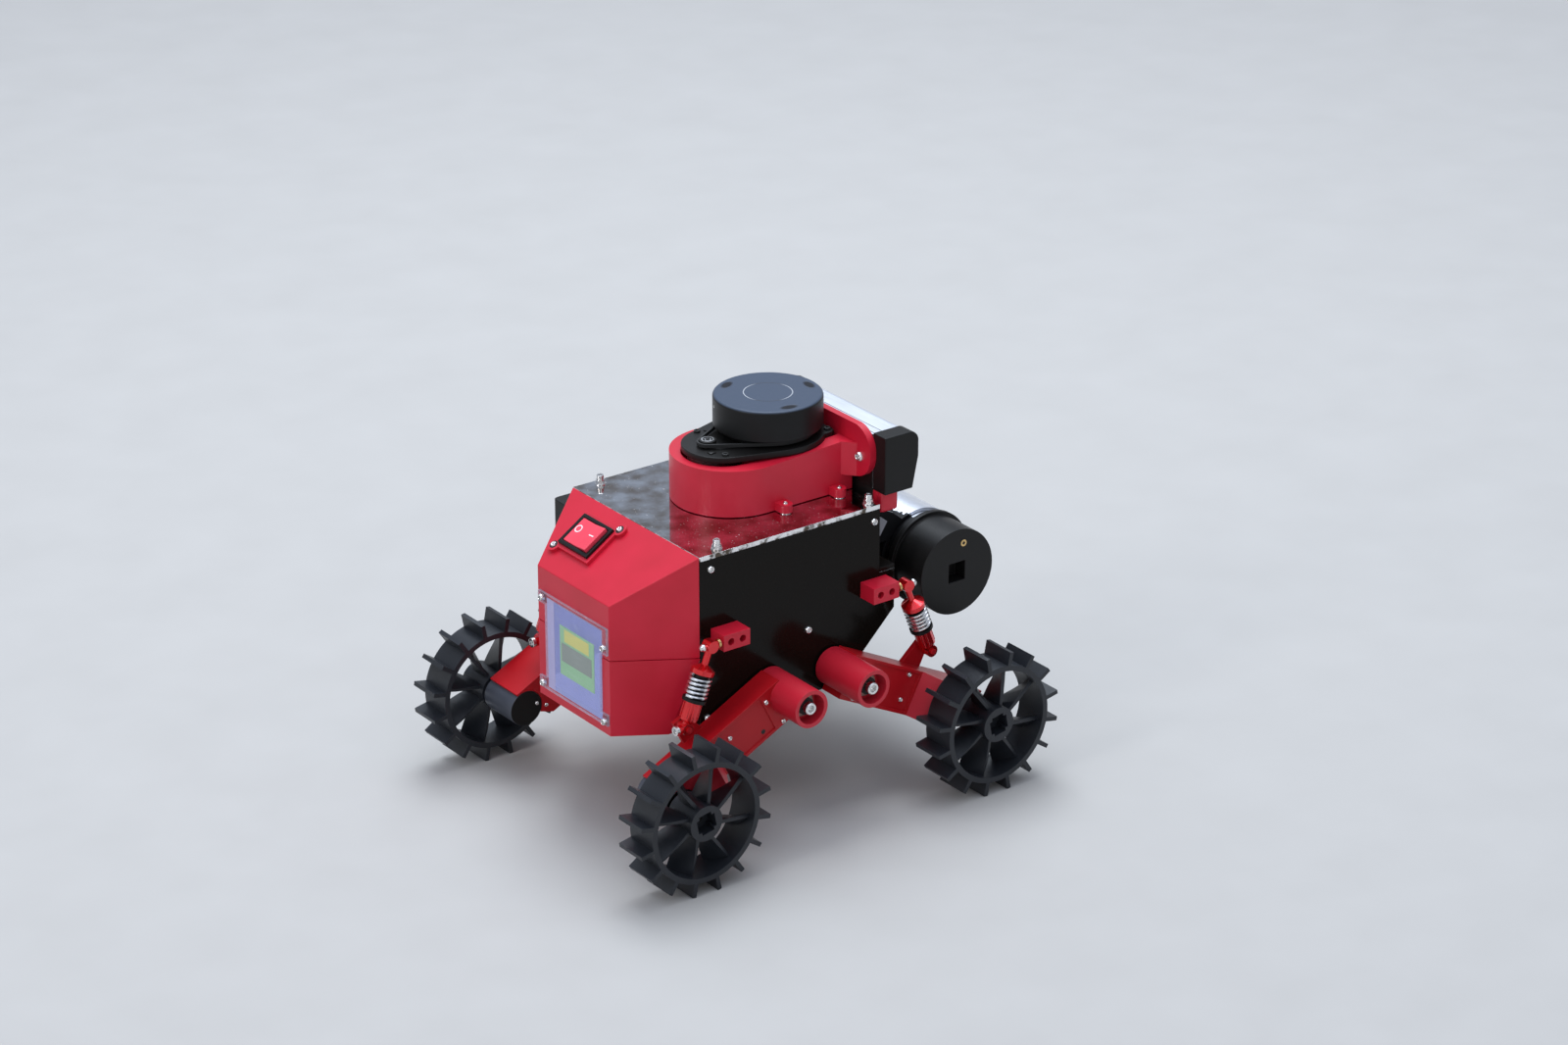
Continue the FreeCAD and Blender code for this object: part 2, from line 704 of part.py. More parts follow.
def lidar_mount():
    body = new_body("lidar_mount", z=LID + " + mount_rise")
    tall = "mount_back_height - mount_rise"
    behind = "-(" + FLANGE_FRONT + " + flange_thickness / 2)"
    disc(body, "cup", CUP_X, "0", "mount_radius", tall)
    slab(body, "cheeks", behind, CUP_X, "mount_radius", tall)
    inner = "(base_nose_radius + seat_gap)"
    sketch = new_sketch(body, "XY_Plane", "hollow", lift="mount_floor")
    circle(sketch, NOSE_X, "0", inner)
    pocket(body, sketch, "mount_back_height", symmetric=False, backward=True)
    slab(body, "hollow_back", "-" + FLANGE_FRONT, NOSE_X, inner, "mount_back_height",
         lift="mount_floor", cut=True)
    sketch = new_sketch(body, "XZ_Plane", "rim_slope")
    low = "(mount_front_height - mount_rise)"
    front = CUP_X + " + mount_radius + overrun"
    outline(sketch, [(front, low), ("0", low), ("-" + FLANGE_FRONT, tall),
                     ("-" + FLANGE_FRONT, tall + " + overrun"), (front, tall + " + overrun")])
    pocket(body, sketch, "2 * (mount_radius + overrun)")
    sketch = new_sketch(body, "YZ_Plane", "flange",
                        lift="-" + FLANGE_FRONT + " - flange_thickness")
    low = "(flange_bottom - mount_rise)"
    high = "(flange_top - mount_rise)"
    outline(sketch, [("-flange_half_width", low), ("flange_half_width", low),
                     ("flange_half_width", high), ("-flange_half_width", high)])
    flange = pad(body, sketch, "flange_thickness", symmetric=False)
    reach = (SIZES["mount_radius"] + SIZES["flange_half_width"]) / 2
    round_edges(body, flange, "flange_round",
                lambda edge: along(edge, "x") and abs(edge.CenterOfMass.y) > reach, "ears")
    for end, sign in (("left", ""), ("right", "-")):
        sketch = new_sketch(body, "XY_Plane", "web_" + end, lift=low)
        start = "(mount_web - " + FLANGE_FRONT + ")"
        web = [(start, "(mount_radius - overrun)"), (start, "mount_radius"),
               ("-" + FLANGE_FRONT, "(mount_radius + mount_web_rise)"),
               (behind, "(mount_radius + mount_web_rise)"), (behind, "(mount_radius - overrun)")]
        outline(sketch, [(x, sign + y) for x, y in web])
        pad(body, sketch, "mount_back_height - flange_bottom", symmetric=False)
    seat_lift = "base_bottom - mount_rise"
    sketch = new_sketch(body, "XY_Plane", "base_seat", lift=seat_lift)
    circle(sketch, "-head_back", "0", BASE_RADIUS + " + seat_gap")
    pocket(body, sketch, "flange_top", symmetric=False, backward=True)
    slab(body, "base_seat_back", "-(head_back + base_back_length + seat_gap)", "-head_back",
         "(base_back_half_width + seat_gap)", "flange_top", lift=seat_lift, cut=True)
    boss_y = "(mount_radius + mount_boss_reach)"
    for name, x in (("boss_front", "mount_boss_front"), ("boss_back", "mount_boss_back")):
        for end, sign in (("left", ""), ("right", "-")):
            disc(body, name + "_" + end, "-" + x, sign + boss_y, "mount_boss_radius",
                 "mount_boss_height")
            sketch = new_sketch(body, "XY_Plane", name + "_neck_" + end)
            back = "-(" + x + " + mount_boss_radius)"
            front = "(mount_boss_radius - " + x + ")"
            inside = sign + "(mount_radius - overrun)"
            outline(sketch, [(back, inside), (front, inside), (front, sign + boss_y),
                             (back, sign + boss_y)])
            pad(body, sketch, "mount_boss_height", symmetric=False)
    for index, (x, y) in enumerate(POST_PLACES):
        disc(body, "post_%d" % index, x, y, "mount_post_radius",
             "base_bottom - mount_rise - mount_floor", lift="mount_floor")


def lidar_base():
    body = new_body("lidar_base", x="-head_back", z=LID + " + base_bottom")
    back = slab(body, "back", "-base_back_length", "0", "base_back_half_width", "base_thickness")
    round_edges(body, back, "base_corner",
                lambda edge: along(edge, "z") and edge.CenterOfMass.x < -SIZES["base_corner"],
                "corners")
    disc(body, "under_head", "0", "0", BASE_RADIUS, "base_thickness")
    disc(body, "nose", "base_nose_reach", "0", "base_nose_radius", "base_thickness")
    sketch = new_sketch(body, "XY_Plane", "waist")
    outline(sketch, waist(BASE_RADIUS, "base_nose_radius", "base_nose_reach"))
    pad(body, sketch, "base_thickness", symmetric=False)


def lidar_motor():
    body = new_body("lidar_motor", x="-head_back + " + PULLEY_REACH, y="-pulley_side", z=LID)
    disc(body, "can", "0", "0", "motor_radius", "motor_length",
         lift="base_bottom - motor_length")


def lidar_pulley():
    body = new_body("lidar_pulley", x="-head_back + " + PULLEY_REACH, y="-pulley_side",
                    z=LID + " + base_bottom + base_thickness + turning_gap")
    disc(body, "wheel", "0", "0", "pulley_radius", "pulley_height")


def lidar_head():
    body = new_body("lidar_head", x="-head_back",
                    z=LID + " + base_bottom + base_thickness + turning_gap")
    skirt = "(head_bottom - base_bottom - base_thickness - turning_gap)"
    top = "(" + skirt + " + head_height)"
    sketch = new_sketch(body, "XZ_Plane", "section")
    outline(sketch, [("0", "0"), ("neck_radius", "0"), ("neck_radius", skirt),
                     ("head_radius", skirt), ("head_radius", top + " - head_edge"),
                     ("head_radius - head_edge", top), ("0", top)])
    revolve(body, sketch, "Z_Axis")


def lidar_belt():
    body = new_body("lidar_belt", x="-head_back",
                    z=LID + " + base_bottom + base_thickness + turning_gap + belt_lift")
    turn(body, FreeCAD.Vector(0, 0, 1), "-atan2(pulley_side; " + PULLEY_REACH + ")")
    span = "sqrt(" + PULLEY_REACH + "^2 + pulley_side^2)"
    for name, extra, cut in (("outside", "belt_gap + belt_thickness", False),
                             ("inside", "belt_gap", True)):
        big = "(neck_radius + " + extra + ")"
        small = "(pulley_radius + " + extra + ")"
        straight = waist(big, small, span)
        for part, place in (("big", ("0", big)), ("small", (span, small))):
            sketch = new_sketch(body, "XY_Plane", name + "_" + part)
            circle(sketch, place[0], "0", place[1])
            if cut:
                pocket(body, sketch, "belt_width", symmetric=False, backward=True)
            else:
                pad(body, sketch, "belt_width", symmetric=False)
            if part == "big":
                sketch = new_sketch(body, "XY_Plane", name + "_straight")
                outline(sketch, straight)
                if cut:
                    pocket(body, sketch, "belt_width", symmetric=False, backward=True)
                else:
                    pad(body, sketch, "belt_width", symmetric=False)


# Sensor bar behind the flange

BAR_FRONT = "(" + FLANGE_FRONT + " + flange_thickness)"


def bar_section(body, name, inset):
    sketch = new_sketch(body, "XZ_Plane", name)
    back = "(-bar_depth + " + inset + ")"
    top = "(bar_height - " + inset + ")"
    outline(sketch, [("0", inset), (back + " + bar_slant", inset),
                     (back, "bar_height * bar_waist_share"), (back, top), ("0", top)])
    return sketch


def sensor_bar():
    spot_x = "-" + BAR_FRONT
    spot_z = LID + " + bar_bottom"
    body = new_body("sensor_bar", x=spot_x, y="(bar_near_end - bar_far_end) / 2", z=spot_z)
    long = "bar_near_end + bar_far_end - 2 * bar_cap_width"
    block = pad(body, bar_section(body, "section", "bar_inset"), long)
    depth = SIZES["bar_depth"] / 2
    waist = SIZES["bar_height"] * SIZES["bar_waist_share"]

    def shoulder(edge):
        middle = edge.CenterOfMass
        return along(edge, "y") and middle.x < -depth and middle.z > waist + SIZES["bar_inset"]

    round_edges(body, block, "bar_round", shoulder, "shoulder")
    for label, middle in (("left", "bar_near_end - bar_cap_width / 2"),
                          ("right", "bar_cap_width / 2 - bar_far_end")):
        body = new_body("sensor_bar_cap_" + label, x=spot_x, y=middle, z=spot_z)
        block = pad(body, bar_section(body, "section", "0"), "bar_cap_width")
        round_edges(body, block, "bar_round", shoulder, "shoulder")


# Cross drum and its saddle on the deck

DRUM_X = "(-body_back - drum_setback)"
# The drum hangs from the deck, but never lower than the brackets of the suspension allow
DRUM_Z = "max(lid_height - drum_drop; " + BRACKET_TOP + " - drum_hang)"


def drum():
    body = new_body("drum_tube", x=DRUM_X, z=DRUM_Z)
    sketch = new_sketch(body, "XZ_Plane", "ring")
    circle(sketch, "0", "0", "drum_radius")
    circle(sketch, "0", "0", "drum_radius - drum_wall")
    pad(body, sketch, "2 * (drum_half_width - drum_cap_width)")
    for label, sign in (("left", 1), ("right", -1)):
        body = new_body("drum_cap_" + label, x=DRUM_X,
                        y="%d * (drum_half_width - drum_cap_width)" % sign, z=DRUM_Z)
        backward = sign > 0
        sketch = new_sketch(body, "XZ_Plane", "ring")
        circle(sketch, "0", "0", "drum_ring_radius")
        pad(body, sketch, "drum_ring_width", symmetric=False, backward=backward)
        sketch = new_sketch(body, "XZ_Plane", "cap")
        circle(sketch, "0", "0", "drum_cap_radius")
        pad(body, sketch, "drum_cap_width", symmetric=False, backward=backward)
        sketch = new_sketch(body, "XZ_Plane", "key",
                            lift="%d * (drum_cap_width - drum_key_depth)" % sign)
        half = "(drum_key / 2)"
        outline(sketch, [("-" + half, "-" + half), (half, "-" + half), (half, half),
                         ("-" + half, half)])
        pocket(body, sketch, "drum_key_depth + overrun", symmetric=False,
               backward=not backward)

    body = new_body("drum_saddle")
    sketch = new_sketch(body, "XZ_Plane", "side")
    outline(sketch, [("-body_back", DECK_TOP), ("-body_back", DECK_TOP + " + saddle_front_height"),
                     ("-body_back - saddle_peak_back", DECK_TOP + " + saddle_peak_height"),
                     (DRUM_X + " + saddle_lip", DECK_TOP + " + saddle_lip_height"),
                     (DRUM_X, DECK_TOP)])
    pad(body, sketch, "2 * saddle_half_width")
    sketch = new_sketch(body, "XZ_Plane", "seat")
    circle(sketch, DRUM_X, DRUM_Z, "drum_radius + seat_gap")
    pocket(body, sketch, "2 * (saddle_half_width + overrun)")
    sketch = new_sketch(body, "XZ_Plane", "strap")
    circle(sketch, DRUM_X, DRUM_Z, "drum_radius + seat_gap + strap_thickness")
    circle(sketch, DRUM_X, DRUM_Z, "drum_radius + seat_gap")
    pad(body, sketch, "2 * saddle_half_width")


def side_box():
    body = new_body("side_box", "body_front + box_front_gap - box_length / 2",
                    "-(body_width + box_width) / 2", "lid_height - box_drop - box_height")
    sketch = new_sketch(body, "XY_Plane", "base")
    outline(sketch, rectangle("(box_length / 2)", "(box_width / 2)"))
    block = pad(body, sketch, "box_height", symmetric=False)
    round_edges(body, block, "box_round",
                lambda edge: along(edge, "z") and edge.CenterOfMass.y < 0, "corners")


lidar_mount()
lidar_base()
lidar_motor()
lidar_pulley()
lidar_head()
lidar_belt()
sensor_bar()
drum()
side_box()


# Running gear. Each corner is built by the same functions: ahead is 1 for the nose end
# and -1 for the back, side is 1 for the left and -1 for the right.

CORNERS = [("front_left", 1, 1), ("front_right", 1, -1),
           ("back_left", -1, 1), ("back_right", -1, -1)]
Y_AXIS = FreeCAD.Vector(0, 1, 0)
# Places across the rover, counted outward from the middle
ARM_INNER = "(body_width / 2 + arm_gap)"
ARM_OUTER = "(" + ARM_INNER + " + arm_width)"
DRIVE_OUTER = "(" + ARM_OUTER + " + drive_width)"
WHEEL_INNER = "(" + DRIVE_OUTER + " + drive_gap)"
WHEEL_OUTER = "(" + WHEEL_INNER + " + wheel_width)"
SHOCK_SIDE = "(body_width / 2 + shock_offset)"
TUBE_END = "(" + ARM_INNER + " + tube_length)"


def signed(sign, text):
    return ("-(" if sign < 0 else "(") + text + ")"


def flipped(text):
    """The same length with its sign turned."""
    return text[1:] if text.startswith("-") else "-" + text


def on_arm(body, ahead):
    """Places a body at the pivot with its x along the arm."""
    seat(body, signed(ahead, "pivot_reach"), "0", PIVOT_HEIGHT)
    turn(body, Y_AXIS, signed(ahead, ARM_SLOPE))


def plate_across(body, points, side, near, far, name, cut=False):
    """Side outline carried outward from one distance off the middle to another."""
    sketch = new_sketch(body, "XZ_Plane", name, lift=signed(side, near))
    outline(sketch, points)
    return carry(body, sketch, side, near, far, cut)


def round_across(body, x, z, radius, side, near, far, name, cut=False):
    sketch = new_sketch(body, "XZ_Plane", name, lift=signed(side, near))
    circle(sketch, x, z, radius)
    return carry(body, sketch, side, near, far, cut)


def carry(body, sketch, side, near, far, cut):
    length = far + " - (" + near + ")"
    if cut:
        return pocket(body, sketch, length, symmetric=False, backward=side < 0)
    return pad(body, sketch, length, symmetric=False, backward=side > 0)


def arm(corner, ahead, side):
    """Printed arm: a box from its tube to a wider end that wraps over the drive."""
    body = new_body("arm_" + corner)

    def flip(points):
        return [(signed(ahead, x), z) for x, z in points]

    plate_across(body, flip([("0", "-arm_bottom"), ("arm_low_end", "-arm_bottom"),
                             ("arm_top_end", "-arm_chin_rise"), ("arm_top_end", "arm_top"),
                             ("0", "arm_top")]), side, ARM_INNER, DRIVE_OUTER, "block")
    sketch = new_sketch(body, "XY_Plane", "narrowing")
    beyond = DRIVE_OUTER + " + overrun"
    ramp_end = "arm_ramp_start + arm_ramp_length * (drive_width + overrun) / drive_width"
    outline(sketch, [(signed(ahead, x), signed(side, y))
                     for x, y in (("-overrun", ARM_OUTER), ("arm_ramp_start", ARM_OUTER),
                                  (ramp_end, beyond), ("-overrun", beyond))])
    pocket(body, sketch, "2 * (arm_top + arm_bottom)")
    round_across(body, signed(ahead, ARM_LENGTH), "0", "drive_radius + seat_gap", side,
                 ARM_INNER, beyond, "drive_seat", cut=True)
    round_across(body, "0", "0", "tube_radius", side, ARM_INNER, TUBE_END, "tube")
    round_across(body, "0", "0", "boss_radius", side, HALF, ARM_INNER, "boss")
    gusset_low = "(shock_eye_along - gusset_length / 2)"
    gusset_high = "(shock_eye_along + gusset_length / 2)"
    neck = "eye_radius + gusset_rim"
    eye_inner = "(" + SHOCK_SIDE + " - eye_width / 2)"
    eye_outer = "(" + SHOCK_SIDE + " + eye_width / 2 + stud_tip)"
    gusset_side = "(" + SHOCK_SIDE + " - shock_body_radius - seat_gap)"
    plate_across(body, flip([(gusset_low, "arm_top - overrun"), (gusset_high, "arm_top - overrun"),
                             ("shock_eye_along + " + neck, "shock_eye_rise + " + neck),
                             ("shock_eye_along - (" + neck + ")", "shock_eye_rise + " + neck)]),
                 side, ARM_INNER, gusset_side, "gusset")
    eye = signed(ahead, "shock_eye_along")
    round_across(body, eye, "shock_eye_rise", "eye_boss_radius", side, gusset_side, eye_inner,
                 "eye_boss")
    round_across(body, eye, "shock_eye_rise", "stud_radius", side, eye_inner, eye_outer, "eye_pin")
    sketch = new_sketch(body, "XZ_Plane", "cover", lift=signed(side, ARM_OUTER))
    outline(sketch, flip([("cover_start", "-arm_bottom + cover_margin"),
                          ("cover_end", "-arm_bottom + cover_margin"),
                          ("cover_end", "arm_top - cover_margin"),
                          ("cover_start", "arm_top - cover_margin")]))
    pocket(body, sketch, "cover_recess", symmetric=False, backward=side > 0)
    sketch = new_sketch(body, "XZ_Plane", "bore", lift=signed(side, TUBE_END))
    circle(sketch, "0", "0", "tube_bore")
    pocket(body, sketch, "tube_bore_depth", symmetric=False, backward=side > 0)
    on_arm(body, ahead)


def drive(corner, ahead, side):
    """Round drive motor across the arm's end, with the shaft that carries the wheel."""
    body = new_body("drive_" + corner)
    axle = signed(ahead, ARM_LENGTH)
    round_across(body, axle, "0", "drive_radius", side, ARM_INNER, DRIVE_OUTER, "can")
    round_across(body, axle, "0", "shaft_radius", side, DRIVE_OUTER,
                 "(" + WHEEL_OUTER + " - hub_socket_depth)", "shaft")
    on_arm(body, ahead)


def bracket(corner, ahead, side):
    body = new_body("shock_bracket_" + corner)
    near = signed(ahead, BRACKET_NEAR)
    far = signed(ahead, BRACKET_FAR)
    low = "(" + BRACKET_TOP + " - bracket_height)"
    out = "(" + HALF + " + bracket_width)"
    plate_across(body, [(near, low), (far, low), (far, BRACKET_TOP), (near, BRACKET_TOP)],
                 side, HALF, out, "block")
    for name, share in (("hole_near", "bracket_hole_share"), ("hole_far", "(1 - bracket_hole_share)")):
        round_across(body, signed(ahead, BRACKET_NEAR + " + bracket_length * " + share), SHOCK_TOP_Z,
                     "bracket_hole_radius", side, HALF, out + " + overrun", name, cut=True)
    sketch = new_sketch(body, "YZ_Plane", "stud", lift=far)
    circle(sketch, signed(side, SHOCK_SIDE), SHOCK_TOP_Z, "stud_radius")
    pad(body, sketch, "shock_top_gap - eye_radius", symmetric=False, backward=ahead < 0)


def on_shock(body, ahead, side):
    seat(body, signed(ahead, SHOCK_TOP_X), signed(side, SHOCK_SIDE), SHOCK_TOP_Z)
    turn(body, Y_AXIS, signed(-ahead, "atan2(shock_run; shock_rise)"))


def turned_piece(body, name, radii):
    """Revolved piece about z: pairs of radius and depth below the upper eye."""
    sketch = new_sketch(body, "XZ_Plane", name)
    first = [("0", "-(" + radii[0][1] + ")")]
    last = [("0", "-(" + radii[-1][1] + ")")]
    outline(sketch, first + [(radius, "-(" + depth + ")") for radius, depth in radii] + last)
    return revolve(body, sketch, "Z_Axis")


SPRING_END = "(cup_start + cup_height + spring_length)"


def shock(corner, ahead, side):
    body = new_body("shock_upper_" + corner)
    disc(body, "eye", "0", "0", "eye_radius", "eye_width", symmetric=True, role="XZ_Plane")
    turned_piece(body, "rod", [("rod_radius", "eye_radius / 2"), ("rod_radius", "cup_start"),
                               ("cup_radius", "cup_start + cup_height / 2"),
                               ("cup_radius", "cup_start + cup_height"),
                               ("core_radius", "cup_start + cup_height"),
                               ("core_radius", SPRING_END)])
    on_shock(body, ahead, side)

    body = new_body("shock_lower_" + corner)
    end = SHOCK_LENGTH
    turned_piece(body, "body", [("spring_radius", SPRING_END),
                                ("spring_radius", SPRING_END + " + ring_height"),
                                ("shock_body_radius", SPRING_END + " + ring_height"),
                                ("shock_body_radius", end + " - eye_radius - stud_radius"),
                                ("eye_boss_radius", end + " - eye_radius"),
                                ("eye_boss_radius", end)])
    disc(body, "eye", "0", "-" + end, "eye_radius", "eye_width", symmetric=True, role="XZ_Plane")
    sketch = new_sketch(body, "XZ_Plane", "eye_hole")
    circle(sketch, "0", "-" + end, "stud_radius + shaft_clearance")
    pocket(body, sketch, "4 * shock_body_radius")
    on_shock(body, ahead, side)

    body = new_body("spring_" + corner)
    inner = "(core_radius + seat_gap)"
    start = "(cup_start + cup_height)"
    sketch = new_sketch(body, "XZ_Plane", "section")
    outline(sketch, [(inner, "-" + start), ("spring_radius", "-" + start),
                     ("spring_radius", "-" + SPRING_END), (inner, "-" + SPRING_END)])
    revolve(body, sketch, "Z_Axis")
    on_shock(body, ahead, side)


def twisted_spoke():
    """Flat-sided spoke along x that twists from the hub's pitch to the rim's, in even steps."""
    root = plain("hub_radius - spoke_sink")
    tip = plain("rim_radius - rim_wall / 2")
    half_width = plain("spoke_width / 2")
    half_thickness = plain("spoke_thickness / 2")
    rings = []
    for step in range(COUNTS["spoke_steps"] + 1):
        share = step / COUNTS["spoke_steps"]
        pitch = plain("spoke_root_pitch") * (1 - share) + plain("spoke_tip_pitch") * share
        turned = FreeCAD.Rotation(FreeCAD.Vector(1, 0, 0), pitch)
        corners = []
        for across, through in ((-1, -1), (1, -1), (1, 1), (-1, 1)):
            flat = FreeCAD.Vector(0, across * half_width, through * half_thickness)
            corners.append(turned.multVec(flat) + FreeCAD.Vector(root + share * (tip - root), 0, 0))
        rings.append(corners)
    polygons = [rings[0], rings[-1]]
    for low, high in zip(rings, rings[1:]):
        for index in range(len(low)):
            after = (index + 1) % len(low)
            polygons.append([low[index], low[after], high[after]])
            polygons.append([low[index], high[after], high[index]])
    shell = Part.makeShell([Part.Face(Part.makePolygon(points + points[:1])) for points in polygons])
    shell.sewShape()
    spoke = Part.makeSolid(shell)
    if spoke.Volume < 0:
        spoke.reverse()
    return spoke


def spoke_ring(label):
    """All the spokes about the axle, as one shape."""
    spokes = []
    for number in range(COUNTS["spokes"]):
        spoke = twisted_spoke()
        turned = number / COUNTS["spokes"] + SIZES["spoke_place_share"] / COUNTS["lugs"]
        spoke.rotate(FreeCAD.Vector(0, 0, 0), Y_AXIS, 360 * turned)
        spokes.append(spoke)
    item = doc.addObject("Part::Feature", label)
    item.Shape = spokes[0].multiFuse(spokes[1:])
    return item


def wheel(corner, ahead, side):
    """Lugged wheel built about its own middle, its outer face towards side."""
    body = new_body("wheel_" + corner, signed(ahead, "axle_reach"),
                    signed(side, WHEEL_OUTER + " - wheel_width / 2"), AXLE_HEIGHT)
    body.BaseFeature = spoke_ring("spokes_" + corner)
    disc(body, "hub", "0", "0", "hub_radius", "wheel_width", symmetric=True, role="XZ_Plane")
    rim = new_sketch(body, "XZ_Plane", "rim")
    circle(rim, "0", "0", "rim_radius")
    circle(rim, "0", "0", "rim_radius - rim_wall")
    pad(body, rim, "wheel_width")
    lug = new_sketch(body, "XZ_Plane", "lug")
    low = "(rim_radius - rim_wall / 2)"
    outline(lug, [(low, "-lug_thickness / 2"), ("wheel_radius", "-lug_thickness / 2"),
                  ("wheel_radius", "lug_thickness / 2"), (low, "lug_thickness / 2")])
    polar(body, [pad(body, lug, "wheel_width")], "Y_Axis", "lugs")
    socket = new_sketch(body, "XZ_Plane", "socket",
                        lift=signed(side, "wheel_width / 2 - hub_socket_depth"))
    near = "(hub_socket / 2)"
    far = "(hub_socket / 2 + socket_lobe)"
    quarter = [(far, near), (near, near), (near, far)]
    points = quarter + [("-" + x, y) for x, y in reversed(quarter)]
    outline(socket, points + [(flipped(x), flipped(y)) for x, y in points])
    pocket(body, socket, "hub_socket_depth + overrun", symmetric=False, backward=side < 0)
    bore = new_sketch(body, "XZ_Plane", "bore")
    circle(bore, "0", "0", "shaft_radius + shaft_clearance")
    pocket(body, bore, "wheel_width + overrun")
    turn(body, Y_AXIS, "180 deg / lugs")


for corner, ahead, side in CORNERS:
    arm(corner, ahead, side)
    drive(corner, ahead, side)
    bracket(corner, ahead, side)
    shock(corner, ahead, side)
    wheel(corner, ahead, side)
doc.recompute()

for item in doc.Objects:
    if "Invalid" in item.State or "Error" in item.State:
        raise RuntimeError("failed: " + item.Name)
for node in NODES:
    if node.Shape.isNull() or not node.Shape.isValid():
        raise RuntimeError("bad shape: " + node.Label)
    node.Shape.exportStep("parts/" + node.Label + ".step")
print("nodes", len(NODES))
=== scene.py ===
# Looks of a small wheeled rover: the finish of every surface, softened edges, fastenings,
# springs, display and switch marks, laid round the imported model. Sizes are in millimetres
# and are turned into metres where a mesh is made.
import json
import math

import bmesh
import bpy
from mathutils import Matrix, Vector

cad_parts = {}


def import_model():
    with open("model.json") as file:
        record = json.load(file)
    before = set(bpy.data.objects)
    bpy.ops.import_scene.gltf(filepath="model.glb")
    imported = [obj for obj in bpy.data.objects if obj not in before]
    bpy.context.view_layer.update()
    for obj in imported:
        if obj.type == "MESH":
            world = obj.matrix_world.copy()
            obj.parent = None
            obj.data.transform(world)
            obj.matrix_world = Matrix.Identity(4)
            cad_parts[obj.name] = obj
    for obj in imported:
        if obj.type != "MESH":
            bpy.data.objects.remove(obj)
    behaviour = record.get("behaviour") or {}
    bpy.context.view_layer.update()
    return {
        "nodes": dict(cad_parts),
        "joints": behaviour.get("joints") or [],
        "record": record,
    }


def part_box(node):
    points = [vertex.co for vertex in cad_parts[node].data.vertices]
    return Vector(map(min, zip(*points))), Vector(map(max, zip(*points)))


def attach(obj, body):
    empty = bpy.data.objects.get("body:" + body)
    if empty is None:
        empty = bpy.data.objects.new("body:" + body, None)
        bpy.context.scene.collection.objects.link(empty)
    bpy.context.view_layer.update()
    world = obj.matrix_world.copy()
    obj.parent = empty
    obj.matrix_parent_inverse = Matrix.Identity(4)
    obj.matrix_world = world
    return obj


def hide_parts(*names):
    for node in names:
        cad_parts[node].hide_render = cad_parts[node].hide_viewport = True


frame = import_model()
MM = 0.001
FULL_TURN = 2 * math.pi
QUARTER_TURN = math.pi / 2
X_AXIS = Vector((1, 0, 0))
Y_AXIS = Vector((0, 1, 0))
Z_AXIS = Vector((0, 0, 1))
SLOT_OF = {item["node"]: item["material_slot"] for item in frame["record"]["subparts"]}
BODY_OF = {member: body for body, members in frame["record"]["behaviour"]["bodies"].items()
           for member in members}
# Name of each corner, then 1 ahead or -1 behind, then 1 on the left or -1 on the right
CORNERS = [("front_left", 1, 1), ("front_right", 1, -1),
           ("back_left", -1, 1), ("back_right", -1, -1)]


def span(node):
    """Lowest and highest corner of a node in millimetres."""
    low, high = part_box(node)
    return low / MM, high / MM


# Places that several pieces are measured from

LID_LOW, LID_HIGH = span("lid_plate")
HEAD_LOW, HEAD_HIGH = span("lidar_head")
HEAD_MIDDLE = (HEAD_LOW + HEAD_HIGH) / 2
BAR_LOW, BAR_HIGH = span("sensor_bar")
DRUM_LOW, DRUM_HIGH = span("drum_tube")
DRUM_MIDDLE = (DRUM_LOW + DRUM_HIGH) / 2
# The nose's sloping top falls by this much over the nose's length
SLOPE_DROP = 30.7
SLOPE = math.atan2(SLOPE_DROP, span("nose_upper_shell")[1].x - LID_HIGH.x)
# The switch's middle, along the slope from the lid's edge and across from the middle plane
SWITCH_ALONG = 25.2
SWITCH_ACROSS = -20.7
ON_SLOPE = (Matrix.Translation(Vector((LID_HIGH.x + SWITCH_ALONG * math.cos(SLOPE), SWITCH_ACROSS,
                                       LID_HIGH.z - SWITCH_ALONG * math.sin(SLOPE))) * MM)
            @ Matrix.Rotation(SLOPE, 4, "Y"))


# Materials


class Flow:
    """A number that runs through a material, written in plain sums."""

    def __init__(self, wiring, socket):
        self.wiring = wiring
        self.socket = socket

    def apply(self, operation, *inputs):
        return self.wiring.node("ShaderNodeMath", inputs, operation=operation)

    def __add__(self, other):
        return self.apply("ADD", self, other)

    def __sub__(self, other):
        return self.apply("SUBTRACT", self, other)

    def __rsub__(self, other):
        return self.apply("SUBTRACT", other, self)

    def __mul__(self, other):
        return self.apply("MULTIPLY", self, other)

    def __truediv__(self, other):
        return self.apply("DIVIDE", self, other)

    def __abs__(self):
        return self.apply("ABSOLUTE", self)

    def root(self):
        return self.apply("SQRT", self)

    def sine(self):
        return self.apply("SINE", self)

    def between(self, low, high):
        """0 at low and 1 at high, held outside them."""
        return self.wiring.node("ShaderNodeMapRange", {"Value": self, "From Min": low,
                                                       "From Max": high}, "Result")


